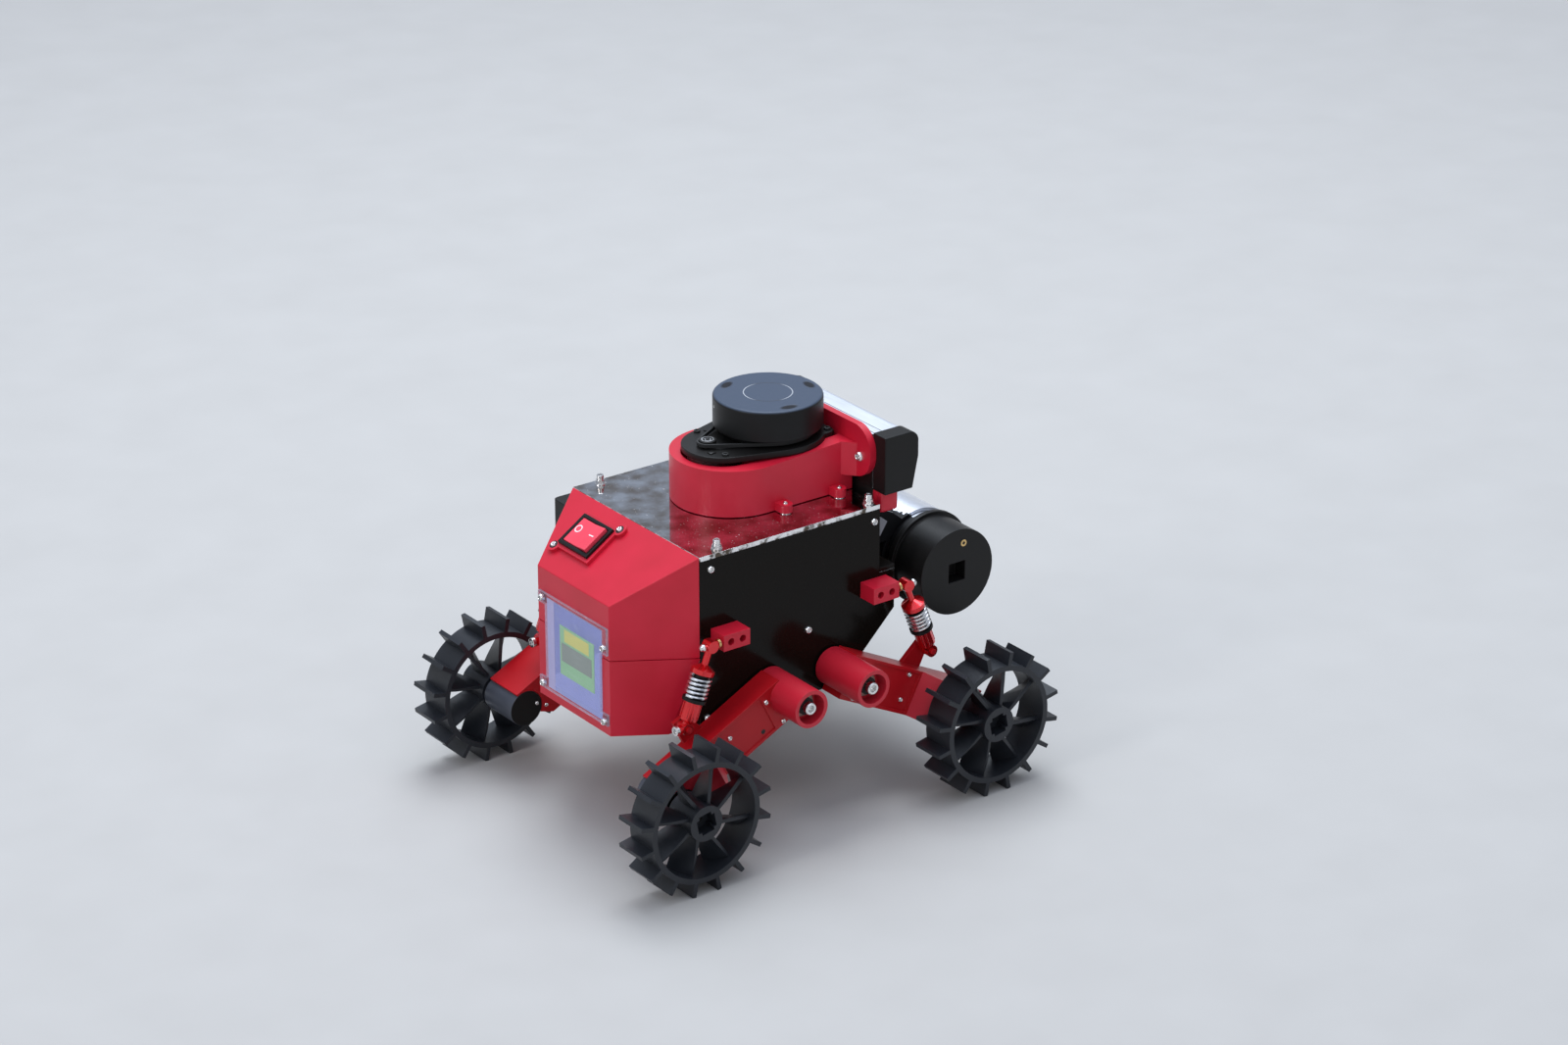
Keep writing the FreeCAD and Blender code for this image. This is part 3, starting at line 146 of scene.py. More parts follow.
class Wiring:
    """The nodes of a material or of the world."""

    def __init__(self, tree):
        self.tree = tree

    def node(self, kind, inputs, output=0, **settings):
        """One node with its settings, then the values or links of its sockets."""
        made = self.tree.nodes.new(kind)
        for word, value in settings.items():
            setattr(made, word, value)
        pairs = inputs.items() if isinstance(inputs, dict) else enumerate(inputs)
        for key, value in pairs:
            if isinstance(value, Flow):
                self.tree.links.new(value.socket, made.inputs[key])
            else:
                made.inputs[key].default_value = value
        return Flow(self, made.outputs[output])

    def blend(self, share, first, second):
        """Runs from one colour to another with share."""
        colours = [item if isinstance(item, Flow) else (*item, 1) for item in (first, second)]
        # Sockets 6 and 7, and output 2, are the node's colour ones
        return self.node("ShaderNodeMix", {0: share, 6: colours[0], 7: colours[1]}, 2,
                         data_type="RGBA")


class Finish(Wiring):
    """A material built round one Principled surface."""

    def __init__(self, name, **constants):
        self.material = bpy.data.materials.new(name)
        self.material.use_nodes = True
        Wiring.__init__(self, self.material.node_tree)
        self.surface = self.tree.nodes["Principled BSDF"]
        for word, value in constants.items():
            self.surface.inputs[word.replace("_", " ")].default_value = value
        self.place = self.node("ShaderNodeTexCoord", {}, "Object")

    def feed(self, word, flow):
        """Links a flow to one socket of the surface."""
        self.tree.links.new(flow.socket, self.surface.inputs[word])

    def axis(self, letter):
        """One coordinate of the surface in millimetres."""
        return self.node("ShaderNodeSeparateXYZ", [self.place], letter) * (1 / MM)

    def noise(self, grain, detail=2.0, stretch=(1, 1, 1)):
        """Cloudy noise whose lumps are about grain millimetres across."""
        spread = self.node("ShaderNodeVectorMath", [self.place, stretch], operation="MULTIPLY")
        return self.node("ShaderNodeTexNoise", {"Vector": spread, "Scale": 1 / (grain * MM),
                                                "Detail": detail}, "Fac")

    def colour(self, share, first, second):
        """Base colour that runs from one colour to another with share."""
        mixed = self.blend(share, first, second)
        self.feed("Base Color", mixed)
        return mixed

    def rough(self, base, share, rise):
        """Roughness that is base where share is 0, and higher by rise where it is 1."""
        self.feed("Roughness", share * rise + base)

    def bump(self, height, depth):
        """Raises the surface by depth millimetres where height is 1."""
        self.feed("Normal", self.node("ShaderNodeBump", {"Height": height, "Distance": depth * MM,
                                                         "Strength": 1.0}))

    def oval(self, middle, heading, length, width):
        """1 inside an upright oval column, 0 outside it; heading is the long way's angle."""
        rim = 1.1
        core = 0.45
        across = self.axis("X") - middle[0]
        along = self.axis("Y") - middle[1]
        u = (across * math.cos(heading) + along * math.sin(heading)) / length
        v = (along * math.cos(heading) - across * math.sin(heading)) / width
        return (u * u + v * v).between(rim, core)


def printed(name, colour, deeper, layer_axis, roughness, shine):
    """Printed plastic: fine layer lines across one axis and a slightly uneven colour."""
    layer = 0.35
    spread = 0.08
    finish = Finish(name, Specular_IOR_Level=shine)
    clouds = finish.noise(grain=30)
    finish.colour(clouds.between(0.3, 0.7), colour, deeper)
    lines = (finish.axis(layer_axis) * (FULL_TURN / layer)).sine()
    finish.bump(lines * 0.5 + finish.noise(grain=0.5), depth=0.012)
    finish.rough(roughness - spread / 2, clouds, rise=spread)
    return finish.material


def mirror_sheet(name):
    """Mirror-bright sheet with faint blotches of painted reflection, and with smears and dust
    specks.
    """
    reflection_brown = (0.4, 0.35, 0.31)
    silver = (0.84, 0.87, 0.92)
    dust = (0.8, 0.76, 0.68)
    finish = Finish(name, Metallic=1.0)
    blotches = finish.noise(grain=15, detail=3.0).between(0.35, 0.68)
    specks = finish.noise(grain=1.2, detail=5.0).between(0.66, 0.74)
    smears = finish.noise(grain=5, detail=4.0).between(0.45, 0.75)
    # Painted reflection: the blotches tint the mirror in brownish and silvery patches, as the
    # mottled surroundings it reflects
    tone = finish.blend(blotches, reflection_brown, silver)
    finish.feed("Base Color", finish.blend(specks * 0.5, tone, dust))
    finish.feed("Metallic", 1 - specks * 0.6)
    finish.feed("Roughness", smears * 0.05 + specks * 0.3 + 0.045)
    finish.bump(finish.noise(grain=9, detail=1.0), depth=0.03)
    return finish.material


def gloss_sheet(name, colour, roughness, dustiness):
    """Polished black sheet with faint dust."""
    dust = (0.3, 0.28, 0.24)
    finish = Finish(name, Specular_IOR_Level=0.12)
    specks = finish.noise(grain=1.3, detail=4.0).between(0.66, 0.78)
    smears = finish.noise(grain=18).between(0.45, 0.75)
    finish.colour(specks * dustiness, colour, dust)
    finish.feed("Roughness", smears * 0.08 + specks * 0.2 + roughness)
    return finish.material


def polished_edge_highlight(name):
    """Cut and polished edge of a sheet, with a painted highlight: bright with dark breaks."""
    dark = (0.1, 0.08, 0.06)
    bright = (0.92, 0.92, 0.92)
    finish = Finish(name, Metallic=0.7)
    breaks = finish.noise(grain=6, detail=3.0).between(0.4, 0.52)
    # Painted highlight, broken in places, as light caught along the polished edge
    finish.colour(breaks, dark, bright)
    finish.rough(0.35, breaks, rise=-0.1)
    return finish.material


def moulded(name, colour, lighter, roughness, grain, depth, shine=0.5):
    """Moulded plastic with a fine even grain."""
    finish = Finish(name, Specular_IOR_Level=shine)
    clouds = finish.noise(grain=12)
    finish.colour(clouds, colour, lighter)
    finish.bump(finish.noise(grain, detail=3.0), depth)
    finish.rough(roughness, clouds, rise=0.1)
    return finish.material


# Noise stretched along Y, as in metal that was drawn that way
DRAWN = (1, 0.03, 1)


def brushed(name, colour, darker, roughness, grooves=()):
    """Metal with fine lines drawn along Y, and grooves at given x darkened with painted shade."""
    groove_shade = (0.1, 0.1, 0.11)
    groove_edge = 0.45
    groove_floor = 0.2
    finish = Finish(name, Metallic=1.0)
    lines = finish.noise(grain=0.7, detail=3.0, stretch=DRAWN)
    tone = finish.blend(lines, darker, colour)
    height = lines * 0.2
    x = finish.axis("X")
    for groove in grooves:
        # Painted shade: each groove is coloured dark as well as sunk in the bump
        cut = abs(x - groove).between(groove_edge, groove_floor)
        tone = finish.blend(cut, tone, groove_shade)
        height = height - cut
    finish.feed("Base Color", tone)
    finish.bump(height, depth=0.05)
    finish.rough(roughness, lines, rise=0.12)
    return finish.material


def bright_metal(name, colour, roughness):
    """Plain metal, slightly worn."""
    worn = 0.75
    finish = Finish(name, Metallic=1.0)
    wear = finish.noise(grain=1.5, detail=3.0)
    finish.colour(wear, tuple(worn * part for part in colour), colour)
    finish.rough(roughness, wear, rise=0.12)
    return finish.material


def anodised(name, colour, darker):
    """Dyed aluminium: coloured metal under a clear skin."""
    finish = Finish(name, Metallic=0.75, Coat_Weight=0.8, Coat_Roughness=0.04)
    clouds = finish.noise(grain=6, detail=1.0)
    finish.colour(clouds, darker, colour)
    finish.rough(0.15, clouds, rise=0.06)
    return finish.material


def clear_sheet(name, body):
    """Clear sheet with faint scratches; body is how much of what lies behind it hides."""
    clear = (0.62, 0.66, 0.8)
    scratched = (0.9, 0.92, 1.0)
    finish = Finish(name, IOR=1.49)
    scratches = finish.noise(grain=2.0, detail=4.0, stretch=(1, 0.2, 1)).between(0.55, 0.8)
    finish.colour(scratches, clear, scratched)
    finish.rough(0.08, scratches, rise=0.2)
    finish.feed("Alpha", scratches * 0.1 + body)
    return finish.material


def lit_panel(name, colour, second, glow):
    """Lit field of a display, slightly uneven."""
    finish = Finish(name, Roughness=0.5, Emission_Strength=glow)
    mixed = finish.colour(finish.noise(grain=16), colour, second)
    finish.feed("Emission Color", mixed)
    return finish.material


# Finger dents in the head's top: their angles about the turning axis in degrees, their
# distance from it, and their length and width
DENT_ANGLES = (-61, 81, 169)
DENT_REACH = 28.6
DENT_LENGTH = 6.4
DENT_WIDTH = 3.2


def head_shell(name):
    """Satin black housing of the turning head, with a painted bluish sheen on top and three
    shallow dents kept dark in it as painted shade.
    """
    black = (0.0075, 0.0072, 0.007)
    lighter = (0.0105, 0.0105, 0.011)
    painted_sheen_blue = (0.055, 0.074, 0.112)
    dent_painted_shade = (0.006, 0.007, 0.012)
    edge_band = (1.2, 0.3)
    finish = Finish(name, Specular_IOR_Level=0.2)
    clouds = finish.noise(grain=10)
    dents = None
    for angle in DENT_ANGLES:
        turned = math.radians(angle)
        middle = (HEAD_MIDDLE.x + DENT_REACH * math.cos(turned),
                  HEAD_MIDDLE.y + DENT_REACH * math.sin(turned))
        dent = finish.oval(middle, turned + QUARTER_TURN, DENT_LENGTH, DENT_WIDTH)
        dents = dent if dents is None else dents + dent
    top = finish.axis("Z").between(HEAD_HIGH.z - edge_band[0], HEAD_HIGH.z - edge_band[1])
    dents = dents * top
    base = finish.blend(clouds, black, lighter)
    # Painted sheen: the top is lighter and bluish, as where light from above falls on it; the
    # dents stay dark in it as painted shade
    base = finish.blend(top, base, painted_sheen_blue)
    finish.feed("Base Color", finish.blend(dents, base, dent_painted_shade))
    finish.feed("Roughness", dents * 0.2 + clouds * 0.06 + 0.36)
    finish.bump(finish.noise(grain=0.3, detail=3.0) * 0.03 - dents, depth=0.35)
    return finish.material


# Direction in which the ring on the head's top carries its painted glint
RING_GLINT_HEADING = (-0.737, 0.545)


def ring_groove(name):
    """Fine ring cut in the head's top, with a painted glint: bright metal at two sides and dull
    between them.
    """
    dull = (0.05, 0.055, 0.065)
    glint_colour = (0.8, 0.82, 0.86)
    finish = Finish(name, Roughness=0.3)
    across = finish.axis("X") - HEAD_MIDDLE.x
    along = finish.axis("Y") - HEAD_MIDDLE.y
    # Painted glint: two fixed sides of the ring are bright, as where it catches the light
    bright = abs(across * RING_GLINT_HEADING[0] + along * RING_GLINT_HEADING[1]).between(6.5, 12.5)
    finish.colour(bright, dull, glint_colour)
    finish.feed("Metallic", bright * 0.5 + 0.3)
    return finish.material


def torn_foil(name, reach_limit, height_limit):
    """Black, with bright foil over the upper back of the drum, torn along its edge."""
    black = (0.008, 0.008, 0.009)
    silver = (0.74, 0.77, 0.84)
    bright = (0.92, 0.94, 0.99)
    lean = math.radians(25)
    reach_spread = 11
    height_spread = 9
    seam = 0.2
    finish = Finish(name, Specular_IOR_Level=0.2)
    x = finish.axis("X") - DRUM_MIDDLE.x
    z = finish.axis("Z") - DRUM_MIDDLE.z
    tear = finish.noise(grain=4.5, detail=5.0)
    reach = (x * x + z * z).root() + tear * reach_spread
    foil = reach.between(reach_limit + seam, reach_limit - seam)
    height = z * math.cos(lean) - x * math.sin(lean) + tear * height_spread
    foil = foil * height.between(height_limit, height_limit + 2 * seam)
    wrinkle = finish.noise(grain=5, detail=4.0)
    finish.feed("Base Color", finish.blend(foil, black, finish.blend(wrinkle, silver, bright)))
    finish.feed("Metallic", foil)
    finish.rough(0.46, foil, rise=-0.1)
    finish.bump(foil * wrinkle + foil * 0.3, depth=0.15)
    return finish.material


# Grooves along the sensor bar's top, darkened with painted shade, measured from its front face
BAR_GROOVES = (7.5, 1.6)
FOIL_HEIGHT = 26.3
LOOKS = {
    "lid_plate": mirror_sheet("lid mirror"),
    "black_plate": gloss_sheet("side gloss", (0.0055, 0.004, 0.0028), roughness=0.14,
                               dustiness=0.03),
    "red_print": printed("red print", (0.6, 0.012, 0.036), (0.53, 0.009, 0.027), "Z",
                         roughness=0.36, shine=0.42),
    "clear_cover": clear_sheet("clear cover", body=0.14),
    "screen": lit_panel("screen field", (0.22, 0.25, 0.52), (0.27, 0.29, 0.57), glow=0.3),
    "black_plastic": moulded("black plastic", (0.006, 0.0055, 0.005), (0.0085, 0.008, 0.0078),
                             roughness=0.34, grain=0.25, depth=0.012, shine=0.24),
    "rubber": moulded("rubber", (0.008, 0.008, 0.008), (0.014, 0.014, 0.014), roughness=0.6,
                      grain=0.3, depth=0.02),
    "aluminium": brushed("aluminium", (0.9, 0.91, 0.93), (0.76, 0.77, 0.79), roughness=0.24),
    "red_anodised": anodised("red anodised", (0.8, 0.012, 0.02), (0.62, 0.006, 0.012)),
    "spring_steel": bright_metal("spring steel", (0.9, 0.9, 0.92), roughness=0.16),
    "wheel_print": printed("wheel print", (0.0155, 0.018, 0.0235), (0.012, 0.014, 0.018), "Y",
                           roughness=0.42, shine=0.42),
}
ARM_PRINT = printed("arm print", (0.45, 0.005, 0.011), (0.38, 0.0035, 0.008), "Y",
                    roughness=0.38, shine=0.3)
# A lighter copy of the arm's red, the tube's painted sheen
TUBE_SHEEN_PRINT = printed("tube print", (0.54, 0.012, 0.03), (0.47, 0.009, 0.024), "Y",
                     roughness=0.4, shine=0.5)
BAR_METAL = brushed("bar aluminium", (0.86, 0.89, 0.96), (0.77, 0.8, 0.87), roughness=0.34,
                    grooves=[BAR_HIGH.x - groove for groove in BAR_GROOVES])
# Painted highlight along the lid's cut edges and the side plates' tops
EDGE = polished_edge_highlight("polished edge")
# The cover's edges hide more of what lies behind them and show pale: a painted highlight on the
# cut edges
CLEAR_EDGE = clear_sheet("clear edge", body=0.42)
STEEL = bright_metal("screw steel", (0.88, 0.87, 0.86), roughness=0.2)
BRASS = bright_metal("brass", (0.8, 0.55, 0.24), roughness=0.25)
DULL_STEEL = bright_metal("dull steel", (0.5, 0.45, 0.38), roughness=0.4)
# Black for dark bolts, the pulley's clip and the switch's ear rings, and painted shade in holes
DARK = moulded("recess black", (0.004, 0.004, 0.004), (0.007, 0.007, 0.007), roughness=0.55,
               grain=0.3, depth=0.01)
ROCKER_RED = moulded("rocker red", (0.86, 0.075, 0.12), (0.78, 0.045, 0.08), roughness=0.16,
                     grain=0.3, depth=0.004)
MARK_WHITE = moulded("mark white", (0.85, 0.85, 0.85), (0.75, 0.75, 0.75), roughness=0.4,
                     grain=0.3, depth=0.005)
HEAD_BLACK = head_shell("head black")
HEAD_RING = ring_groove("ring groove")
FOIL = torn_foil("torn foil", reach_limit=39.4, height_limit=FOIL_HEIGHT)
# Out of reach, so the foil covers the tube as far in as it goes
TUBE_FOIL = torn_foil("tube foil", reach_limit=99.0, height_limit=FOIL_HEIGHT)
DRIVE_GREY = moulded("drive case", (0.045, 0.05, 0.064), (0.06, 0.066, 0.084), roughness=0.3,
                     grain=0.4, depth=0.01)
BRACKET_GREY = moulded("bracket grey", (0.13, 0.13, 0.15), (0.18, 0.18, 0.2), roughness=0.3,
                       grain=0.5, depth=0.01)


# Mesh helpers. Angles are in degrees: edges sharper than SHARP_ANGLE are rounded, those
# sharper than SMOOTH_ANGLE stay sharp in the shading, and faces within FLAT_ANGLE are one.
# A face looks along an axis from this share of its direction on.

ROUGHLY = 0.5
MOSTLY = 0.7
SQUARELY = 0.9
SHARP_ANGLE = 35
SMOOTH_ANGLE = 38
FLAT_ANGLE = 0.4
MERGE_GAP = 0.002
AXIS_GAP = 0.001


def shape_up(name, shape, looks, body="chassis"):
    """Makes an object of a bmesh, gives it its looks and lets it ride on a body."""
    mesh = bpy.data.meshes.new(name)
    shape.to_mesh(mesh)
    shape.free()
    for look in looks if isinstance(looks, (list, tuple)) else [looks]:
        mesh.materials.append(look)
    mesh.polygons.foreach_set("use_smooth", [True] * len(mesh.polygons))
    mesh.set_sharp_from_angle(angle=math.radians(SMOOTH_ANGLE))
    piece = bpy.data.objects.new(name, mesh)
    bpy.context.scene.collection.objects.link(piece)
    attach(piece, body)
    return piece


def soften(shape, edges, width, segments):
    """Rounds edges of a mesh by width millimetres."""
    bmesh.ops.bevel(shape, geom=edges, offset=width * MM, segments=segments, profile=0.5,
                    affect="EDGES", clamp_overlap=True, material=-1)


def dressed(node, round_by, looks=None, pick=None, segments=2, reshape=None):
    """The node's own form with its edges softened, shown in the node's place.

    pick gives the number of the look for a face, from the face's middle and direction;
    reshape moves corners of the form before its edges are softened.
    """
    shape = bmesh.new()
    shape.from_mesh(frame["nodes"][node].data)
    bmesh.ops.remove_doubles(shape, verts=shape.verts, dist=MERGE_GAP * MM)
    bmesh.ops.dissolve_limit(shape, angle_limit=math.radians(FLAT_ANGLE), verts=shape.verts,
                             edges=shape.edges)
    if reshape:
        reshape(shape)
    for face in shape.faces:
        face.material_index = pick(face.calc_center_median() / MM, face.normal) if pick else 0
    limit = math.radians(SHARP_ANGLE)
    soften(shape, [edge for edge in shape.edges
                   if edge.is_manifold and edge.calc_face_angle() > limit], round_by, segments)
    piece = shape_up(node + "_finish", shape, looks or LOOKS[SLOT_OF[node]], BODY_OF[node])
    level = piece.modifiers.new("level", "WEIGHTED_NORMAL")
    level.keep_sharp = True
    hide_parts(node)


def turned_to(direction, place):
    """Matrix that stands a piece made along Z at a place, pointing along a direction."""
    turn = Z_AXIS.rotation_difference(Vector(direction)).to_matrix().to_4x4()
    return Matrix.Translation(Vector(place) * MM) @ turn


def add_rod(shape, place, direction, radius, length, sides=24):
    """Rod from a place along a direction."""
    made = bmesh.ops.create_cone(shape, cap_ends=True, segments=sides, radius1=radius * MM,
                                 radius2=radius * MM, depth=length * MM)
    lift = Matrix.Translation((0, 0, length * MM / 2))
    bmesh.ops.transform(shape, matrix=turned_to(direction, place) @ lift, verts=made["verts"])


def add_turned(shape, profile, place, direction, steps):
    """Solid of revolution from pairs of radius and height, laid at a place."""
    before = set(shape.verts)
    corners = [shape.verts.new((radius * MM, 0, height * MM)) for radius, height in profile]
    edges = [shape.edges.new(pair) for pair in zip(corners, corners[1:])]
    bmesh.ops.spin(shape, geom=corners + edges, cent=(0, 0, 0), axis=Z_AXIS, angle=FULL_TURN,
                   steps=steps, use_merge=True)
    fresh = [vert for vert in shape.verts if vert not in before]
    bmesh.ops.remove_doubles(shape, verts=fresh, dist=AXIS_GAP * MM)
    fresh = [vert for vert in shape.verts if vert not in before]
    faces = {face for vert in fresh for face in vert.link_faces}
    bmesh.ops.recalc_face_normals(shape, faces=list(faces))
    bmesh.ops.transform(shape, matrix=turned_to(direction, place), verts=fresh)


def add_block(shape, low, high, round_by=0.0, segments=2):
    """Block between two corners with rounded edges."""
    low, high = Vector(low), Vector(high)
    made = bmesh.ops.create_cube(shape, size=1.0)
    matrix = Matrix.Translation((low + high) / 2 * MM) @ Matrix.Diagonal((*((high - low) * MM), 1))
    bmesh.ops.transform(shape, matrix=matrix, verts=made["verts"])
    if round_by:
        edges = {edge for vert in made["verts"] for edge in vert.link_edges}
        soften(shape, list(edges), round_by, segments)


def add_plate(shape, corners, direction, thickness, round_by):
    """Flat plate from its outline, made thick along a direction, with rounded edges."""
    face = shape.faces.new([shape.verts.new(Vector(corner) * MM) for corner in corners])
    pushed = bmesh.ops.extrude_face_region(shape, geom=[face], use_keep_orig=True)
    verts = [item for item in pushed["geom"] if isinstance(item, bmesh.types.BMVert)]
    bmesh.ops.translate(shape, vec=Vector(direction) * thickness * MM, verts=verts)
    faces = {item for vert in verts + list(face.verts) for item in vert.link_faces}
    bmesh.ops.recalc_face_normals(shape, faces=list(faces))
    edges = {edge for item in faces for edge in item.edges}
    soften(shape, list(edges), round_by, segments=2)


# Profiles of a domed screw head and of a cap bolt's head, both with a socket, as shares of
# the radius and of the height
SCREW_SHARES = ((0, 0.3), (0.45, 0.3), (0.5, 0.85), (0.62, 0.97), (0.8, 0.88), (0.95, 0.5),
                (1.0, 0.12), (1.0, -0.2), (0, -0.2))
BOLT_SHARES = ((0, 0.45), (0.5, 0.45), (0.55, 0.96), (0.6, 1.0), (0.88, 1.0), (1.0, 0.9),
               (1.0, 0.0), (0, 0.0))


def screw(shape, place, direction, radius, height):
    """Domed screw head with a socket, standing on a face."""
    add_turned(shape, [(radius * r, height * h) for r, h in SCREW_SHARES], place, direction,
               steps=20)


def cap_bolt(shape, place, direction, radius, height):
    """Socket cap bolt head: a plain round head with a deep socket."""
    add_turned(shape, [(radius * r, height * h) for r, h in BOLT_SHARES], place, direction,
               steps=28)


def ring(shape, place, direction, inner, outer, height, steps=40):
    """Flat ring standing on a face."""
    profile = [(inner, 0), (outer, 0), (outer, height), (inner, height), (inner, 0)]
    add_turned(shape, profile, place, direction, steps)


# Boxed body: plates, lid bolts, side screws and what holds the bar up

# Distances of the lid's bolts from its front, back and side edges
LID_BOLT_FRONT = 17
LID_BOLT_BACK = 5
LID_BOLT_SIDE = 5.7
# Lower washer, nut and upper washer under a lid bolt's head: radius, height and sides
LID_BOLT_STACK = ((3.7, 0.6, 28), (3.1, 1.9, 6), (2.8, 0.6, 24))
LID_BOLT_RADIUS = 2.3
LID_BOLT_HEIGHT = 3.1


def lid_bolts():
    """A bolt with nut and washers near each corner of the lid."""
    shape = bmesh.new()
    for x in (LID_HIGH.x - LID_BOLT_FRONT, LID_LOW.x + LID_BOLT_BACK):
        for y in (LID_HIGH.y - LID_BOLT_SIDE, LID_LOW.y + LID_BOLT_SIDE):
            z = LID_HIGH.z
            for radius, height, sides in LID_BOLT_STACK:
                add_rod(shape, (x, y, z), Z_AXIS, radius, height, sides)
                z += height
            cap_bolt(shape, (x, y, z), Z_AXIS, LID_BOLT_RADIUS, LID_BOLT_HEIGHT)
    shape_up("lid_bolts", shape, STEEL)


# Places of the screws on a side plate; the side box covers the first one on the right
SIDE_SCREWS = ((68, 184), (-58, 183), (-6.6, 122.7), (71, 84))


def side_screws():
    """Screws through both side plates."""
    shape = bmesh.new()
    for side in (1, -1):
        for x, z in SIDE_SCREWS if side > 0 else SIDE_SCREWS[1:]:
            screw(shape, (x, side * LID_HIGH.y, z), Y_AXIS * side, radius=2.5,
                  height=2.0)
    shape_up("side_screws", shape, STEEL)


# Corner brackets: outline in x and z, outer face and thickness
BRACKET_OUTLINE = ((-62.9, 184), (-67, 182), (-71.5, 178.5), (-66.0, 170), (-62.9, 168))
BRACKET_FACE = 65.5
BRACKET_THICKNESS = 2.5
# Right and left end of each clip and of the rail, and how far each reaches back from the
# bar's front face. Both sink a little into the bar.
CLIPS = ((50, 64), (-48.5, -38.5))
CLIP_FOOT = 184
CLIP_BACK = 15
CLIP_FRONT = 1
RAIL = (-39.5, 56)
RAIL_FOOT = 186
RAIL_BACK = 13.5
RAIL_FRONT = 0.5
BAR_SINK = 0.5


def back_fittings():
    """Grey corner brackets, and the red clips and black rail that hold the bar up."""
    shape = bmesh.new()
    for side in (1, -1):
        corners = [(x, side * BRACKET_FACE, z) for x, z in BRACKET_OUTLINE]
        add_plate(shape, corners, -side * Y_AXIS, BRACKET_THICKNESS, round_by=0.3)
    shape_up("corner_brackets", shape, BRACKET_GREY)
    top = BAR_LOW.z + BAR_SINK
    shape = bmesh.new()
    for low, high in CLIPS:
        add_block(shape, (BAR_HIGH.x - CLIP_BACK, low, CLIP_FOOT),
                  (BAR_HIGH.x - CLIP_FRONT, high, top), round_by=2.0, segments=3)
    shape_up("bar_clips", shape, LOOKS["red_print"])
    shape = bmesh.new()
    add_block(shape, (BAR_HIGH.x - RAIL_BACK, RAIL[0], RAIL_FOOT),
              (BAR_HIGH.x - RAIL_FRONT, RAIL[1], top), round_by=1.0)
    shape_up("bar_rail", shape, LOOKS["black_plastic"])


# The lid's side faces take the edge's painted highlight
dressed("lid_plate", round_by=0.25, looks=[LOOKS["lid_plate"], EDGE],
        pick=lambda place, normal: 0 if abs(normal.z) > ROUGHLY else 1)
lid_bolts()
side_screws()
back_fittings()
# The side plates' top faces take the edge's painted highlight
for plate in ("side_plate_left", "side_plate_right"):
    dressed(plate, round_by=0.25, looks=[LOOKS["black_plate"], EDGE],
            pick=lambda place, normal: 1 if normal.z > SQUARELY else 0)
for plate in ("floor_plate", "mid_deck", "back_upper_plate", "back_lower_plate"):
    dressed(plate, round_by=0.25)


# Nose: shells, display and switch

for shell in ("nose_upper_shell", "nose_lower_shell"):
    dressed(shell, round_by=0.6, segments=3)


# Fields of the display: their light, their second colour as a share of the first, and how
# they lie in the screen, each a step in front of the one before it
FIELD_GLOW = 0.25
FIELD_SHADE = 0.85
FIELD_SINK = 0.2
FIELD_LIFT = 0.15
FIELD_STEP = 0.1
# The lowest field starts above the cover's lower edge and ends above the screen's
FOOT_START = 1.2
FOOT_END = 0.5
DISPLAY_SCREWS = ((-31.8, 144.0), (-31.8, 85.2), (36.0, 134.4), (36.0, 84.3))


def display():
    """Clear cover, screen with plain coloured fields, and the cover's screws."""
    low, high = span("display_cover")
    # The cover's edge faces take the clear edge look, a painted highlight
    dressed("display_cover", round_by=0.15, looks=[LOOKS["clear_cover"], CLEAR_EDGE],
            pick=lambda place, normal: 0 if abs(normal.x) > ROUGHLY else 1)
    dressed("display_screen", round_by=0.1)
    face_low, face_high = span("display_screen")
    face = face_high.x
    foot = low.z + FOOT_START
    fields = [("lavender_foot", (-28.5, 30.5), (foot, face_low.z + FOOT_END), (0.24, 0.265, 0.54)),
              ("mauve_band", (-29, -21.5), (foot, 144), (0.36, 0.33, 0.55)),
              ("green_field", (-15, 22.5), (97.5, 131), (0.24, 0.46, 0.24)),
              ("yellow_bar", (-10, 17), (121, 129.5), (0.55, 0.52, 0.12)),
              ("grey_field", (-13, 20), (107, 119.5), (0.2, 0.23, 0.19))]
    for number, (name, across, up, colour) in enumerate(fields):
        shape = bmesh.new()
        front = face + FIELD_LIFT + FIELD_STEP * number
        add_block(shape, (face - FIELD_SINK, across[0], up[0]), (front, across[1], up[1]))
        second = tuple(FIELD_SHADE * part for part in colour)
        shape_up("display_" + name, shape,
                 lit_panel("display " + name, colour, second, FIELD_GLOW))
    shape = bmesh.new()
    for y, z in DISPLAY_SCREWS:
        screw(shape, (high.x, y, z), X_AXIS, radius=2.4, height=2.2)
    shape_up("display_screws", shape, STEEL)


def on_slope(shape):
    """Lays a shape made flat about the switch's middle on the sloping top."""
    bmesh.ops.transform(shape, matrix=ON_SLOPE, verts=shape.verts)
    return shape


# Heights over the slope of the bezel, and of the rocker in its middle and at its raised
# end, then half the rocker's length and the places of the bezel's ears
BEZEL_TOP = 2.5
ROCKER_FLAT = 4.5
ROCKER_PEAK = 7.0
ROCKER_HALF = 12.85
EARS = ((-15, 18.25), (15, -18.25))
EAR_RING_SINK = 0.3
EAR_SCREW_SINK = 0.1
# Marks on the rocker: the middle of the O, and two corners of the dash before it is turned
MARK_SINK = 0.1
ZERO_PLACE = (-1.5, -8.8, ROCKER_FLAT - MARK_SINK)
DASH_LOW = (-0.4, 3.9, -MARK_SINK)
DASH_HIGH = (0.4, 9.6, 0.14)
DASH_SHIFT = -1.0


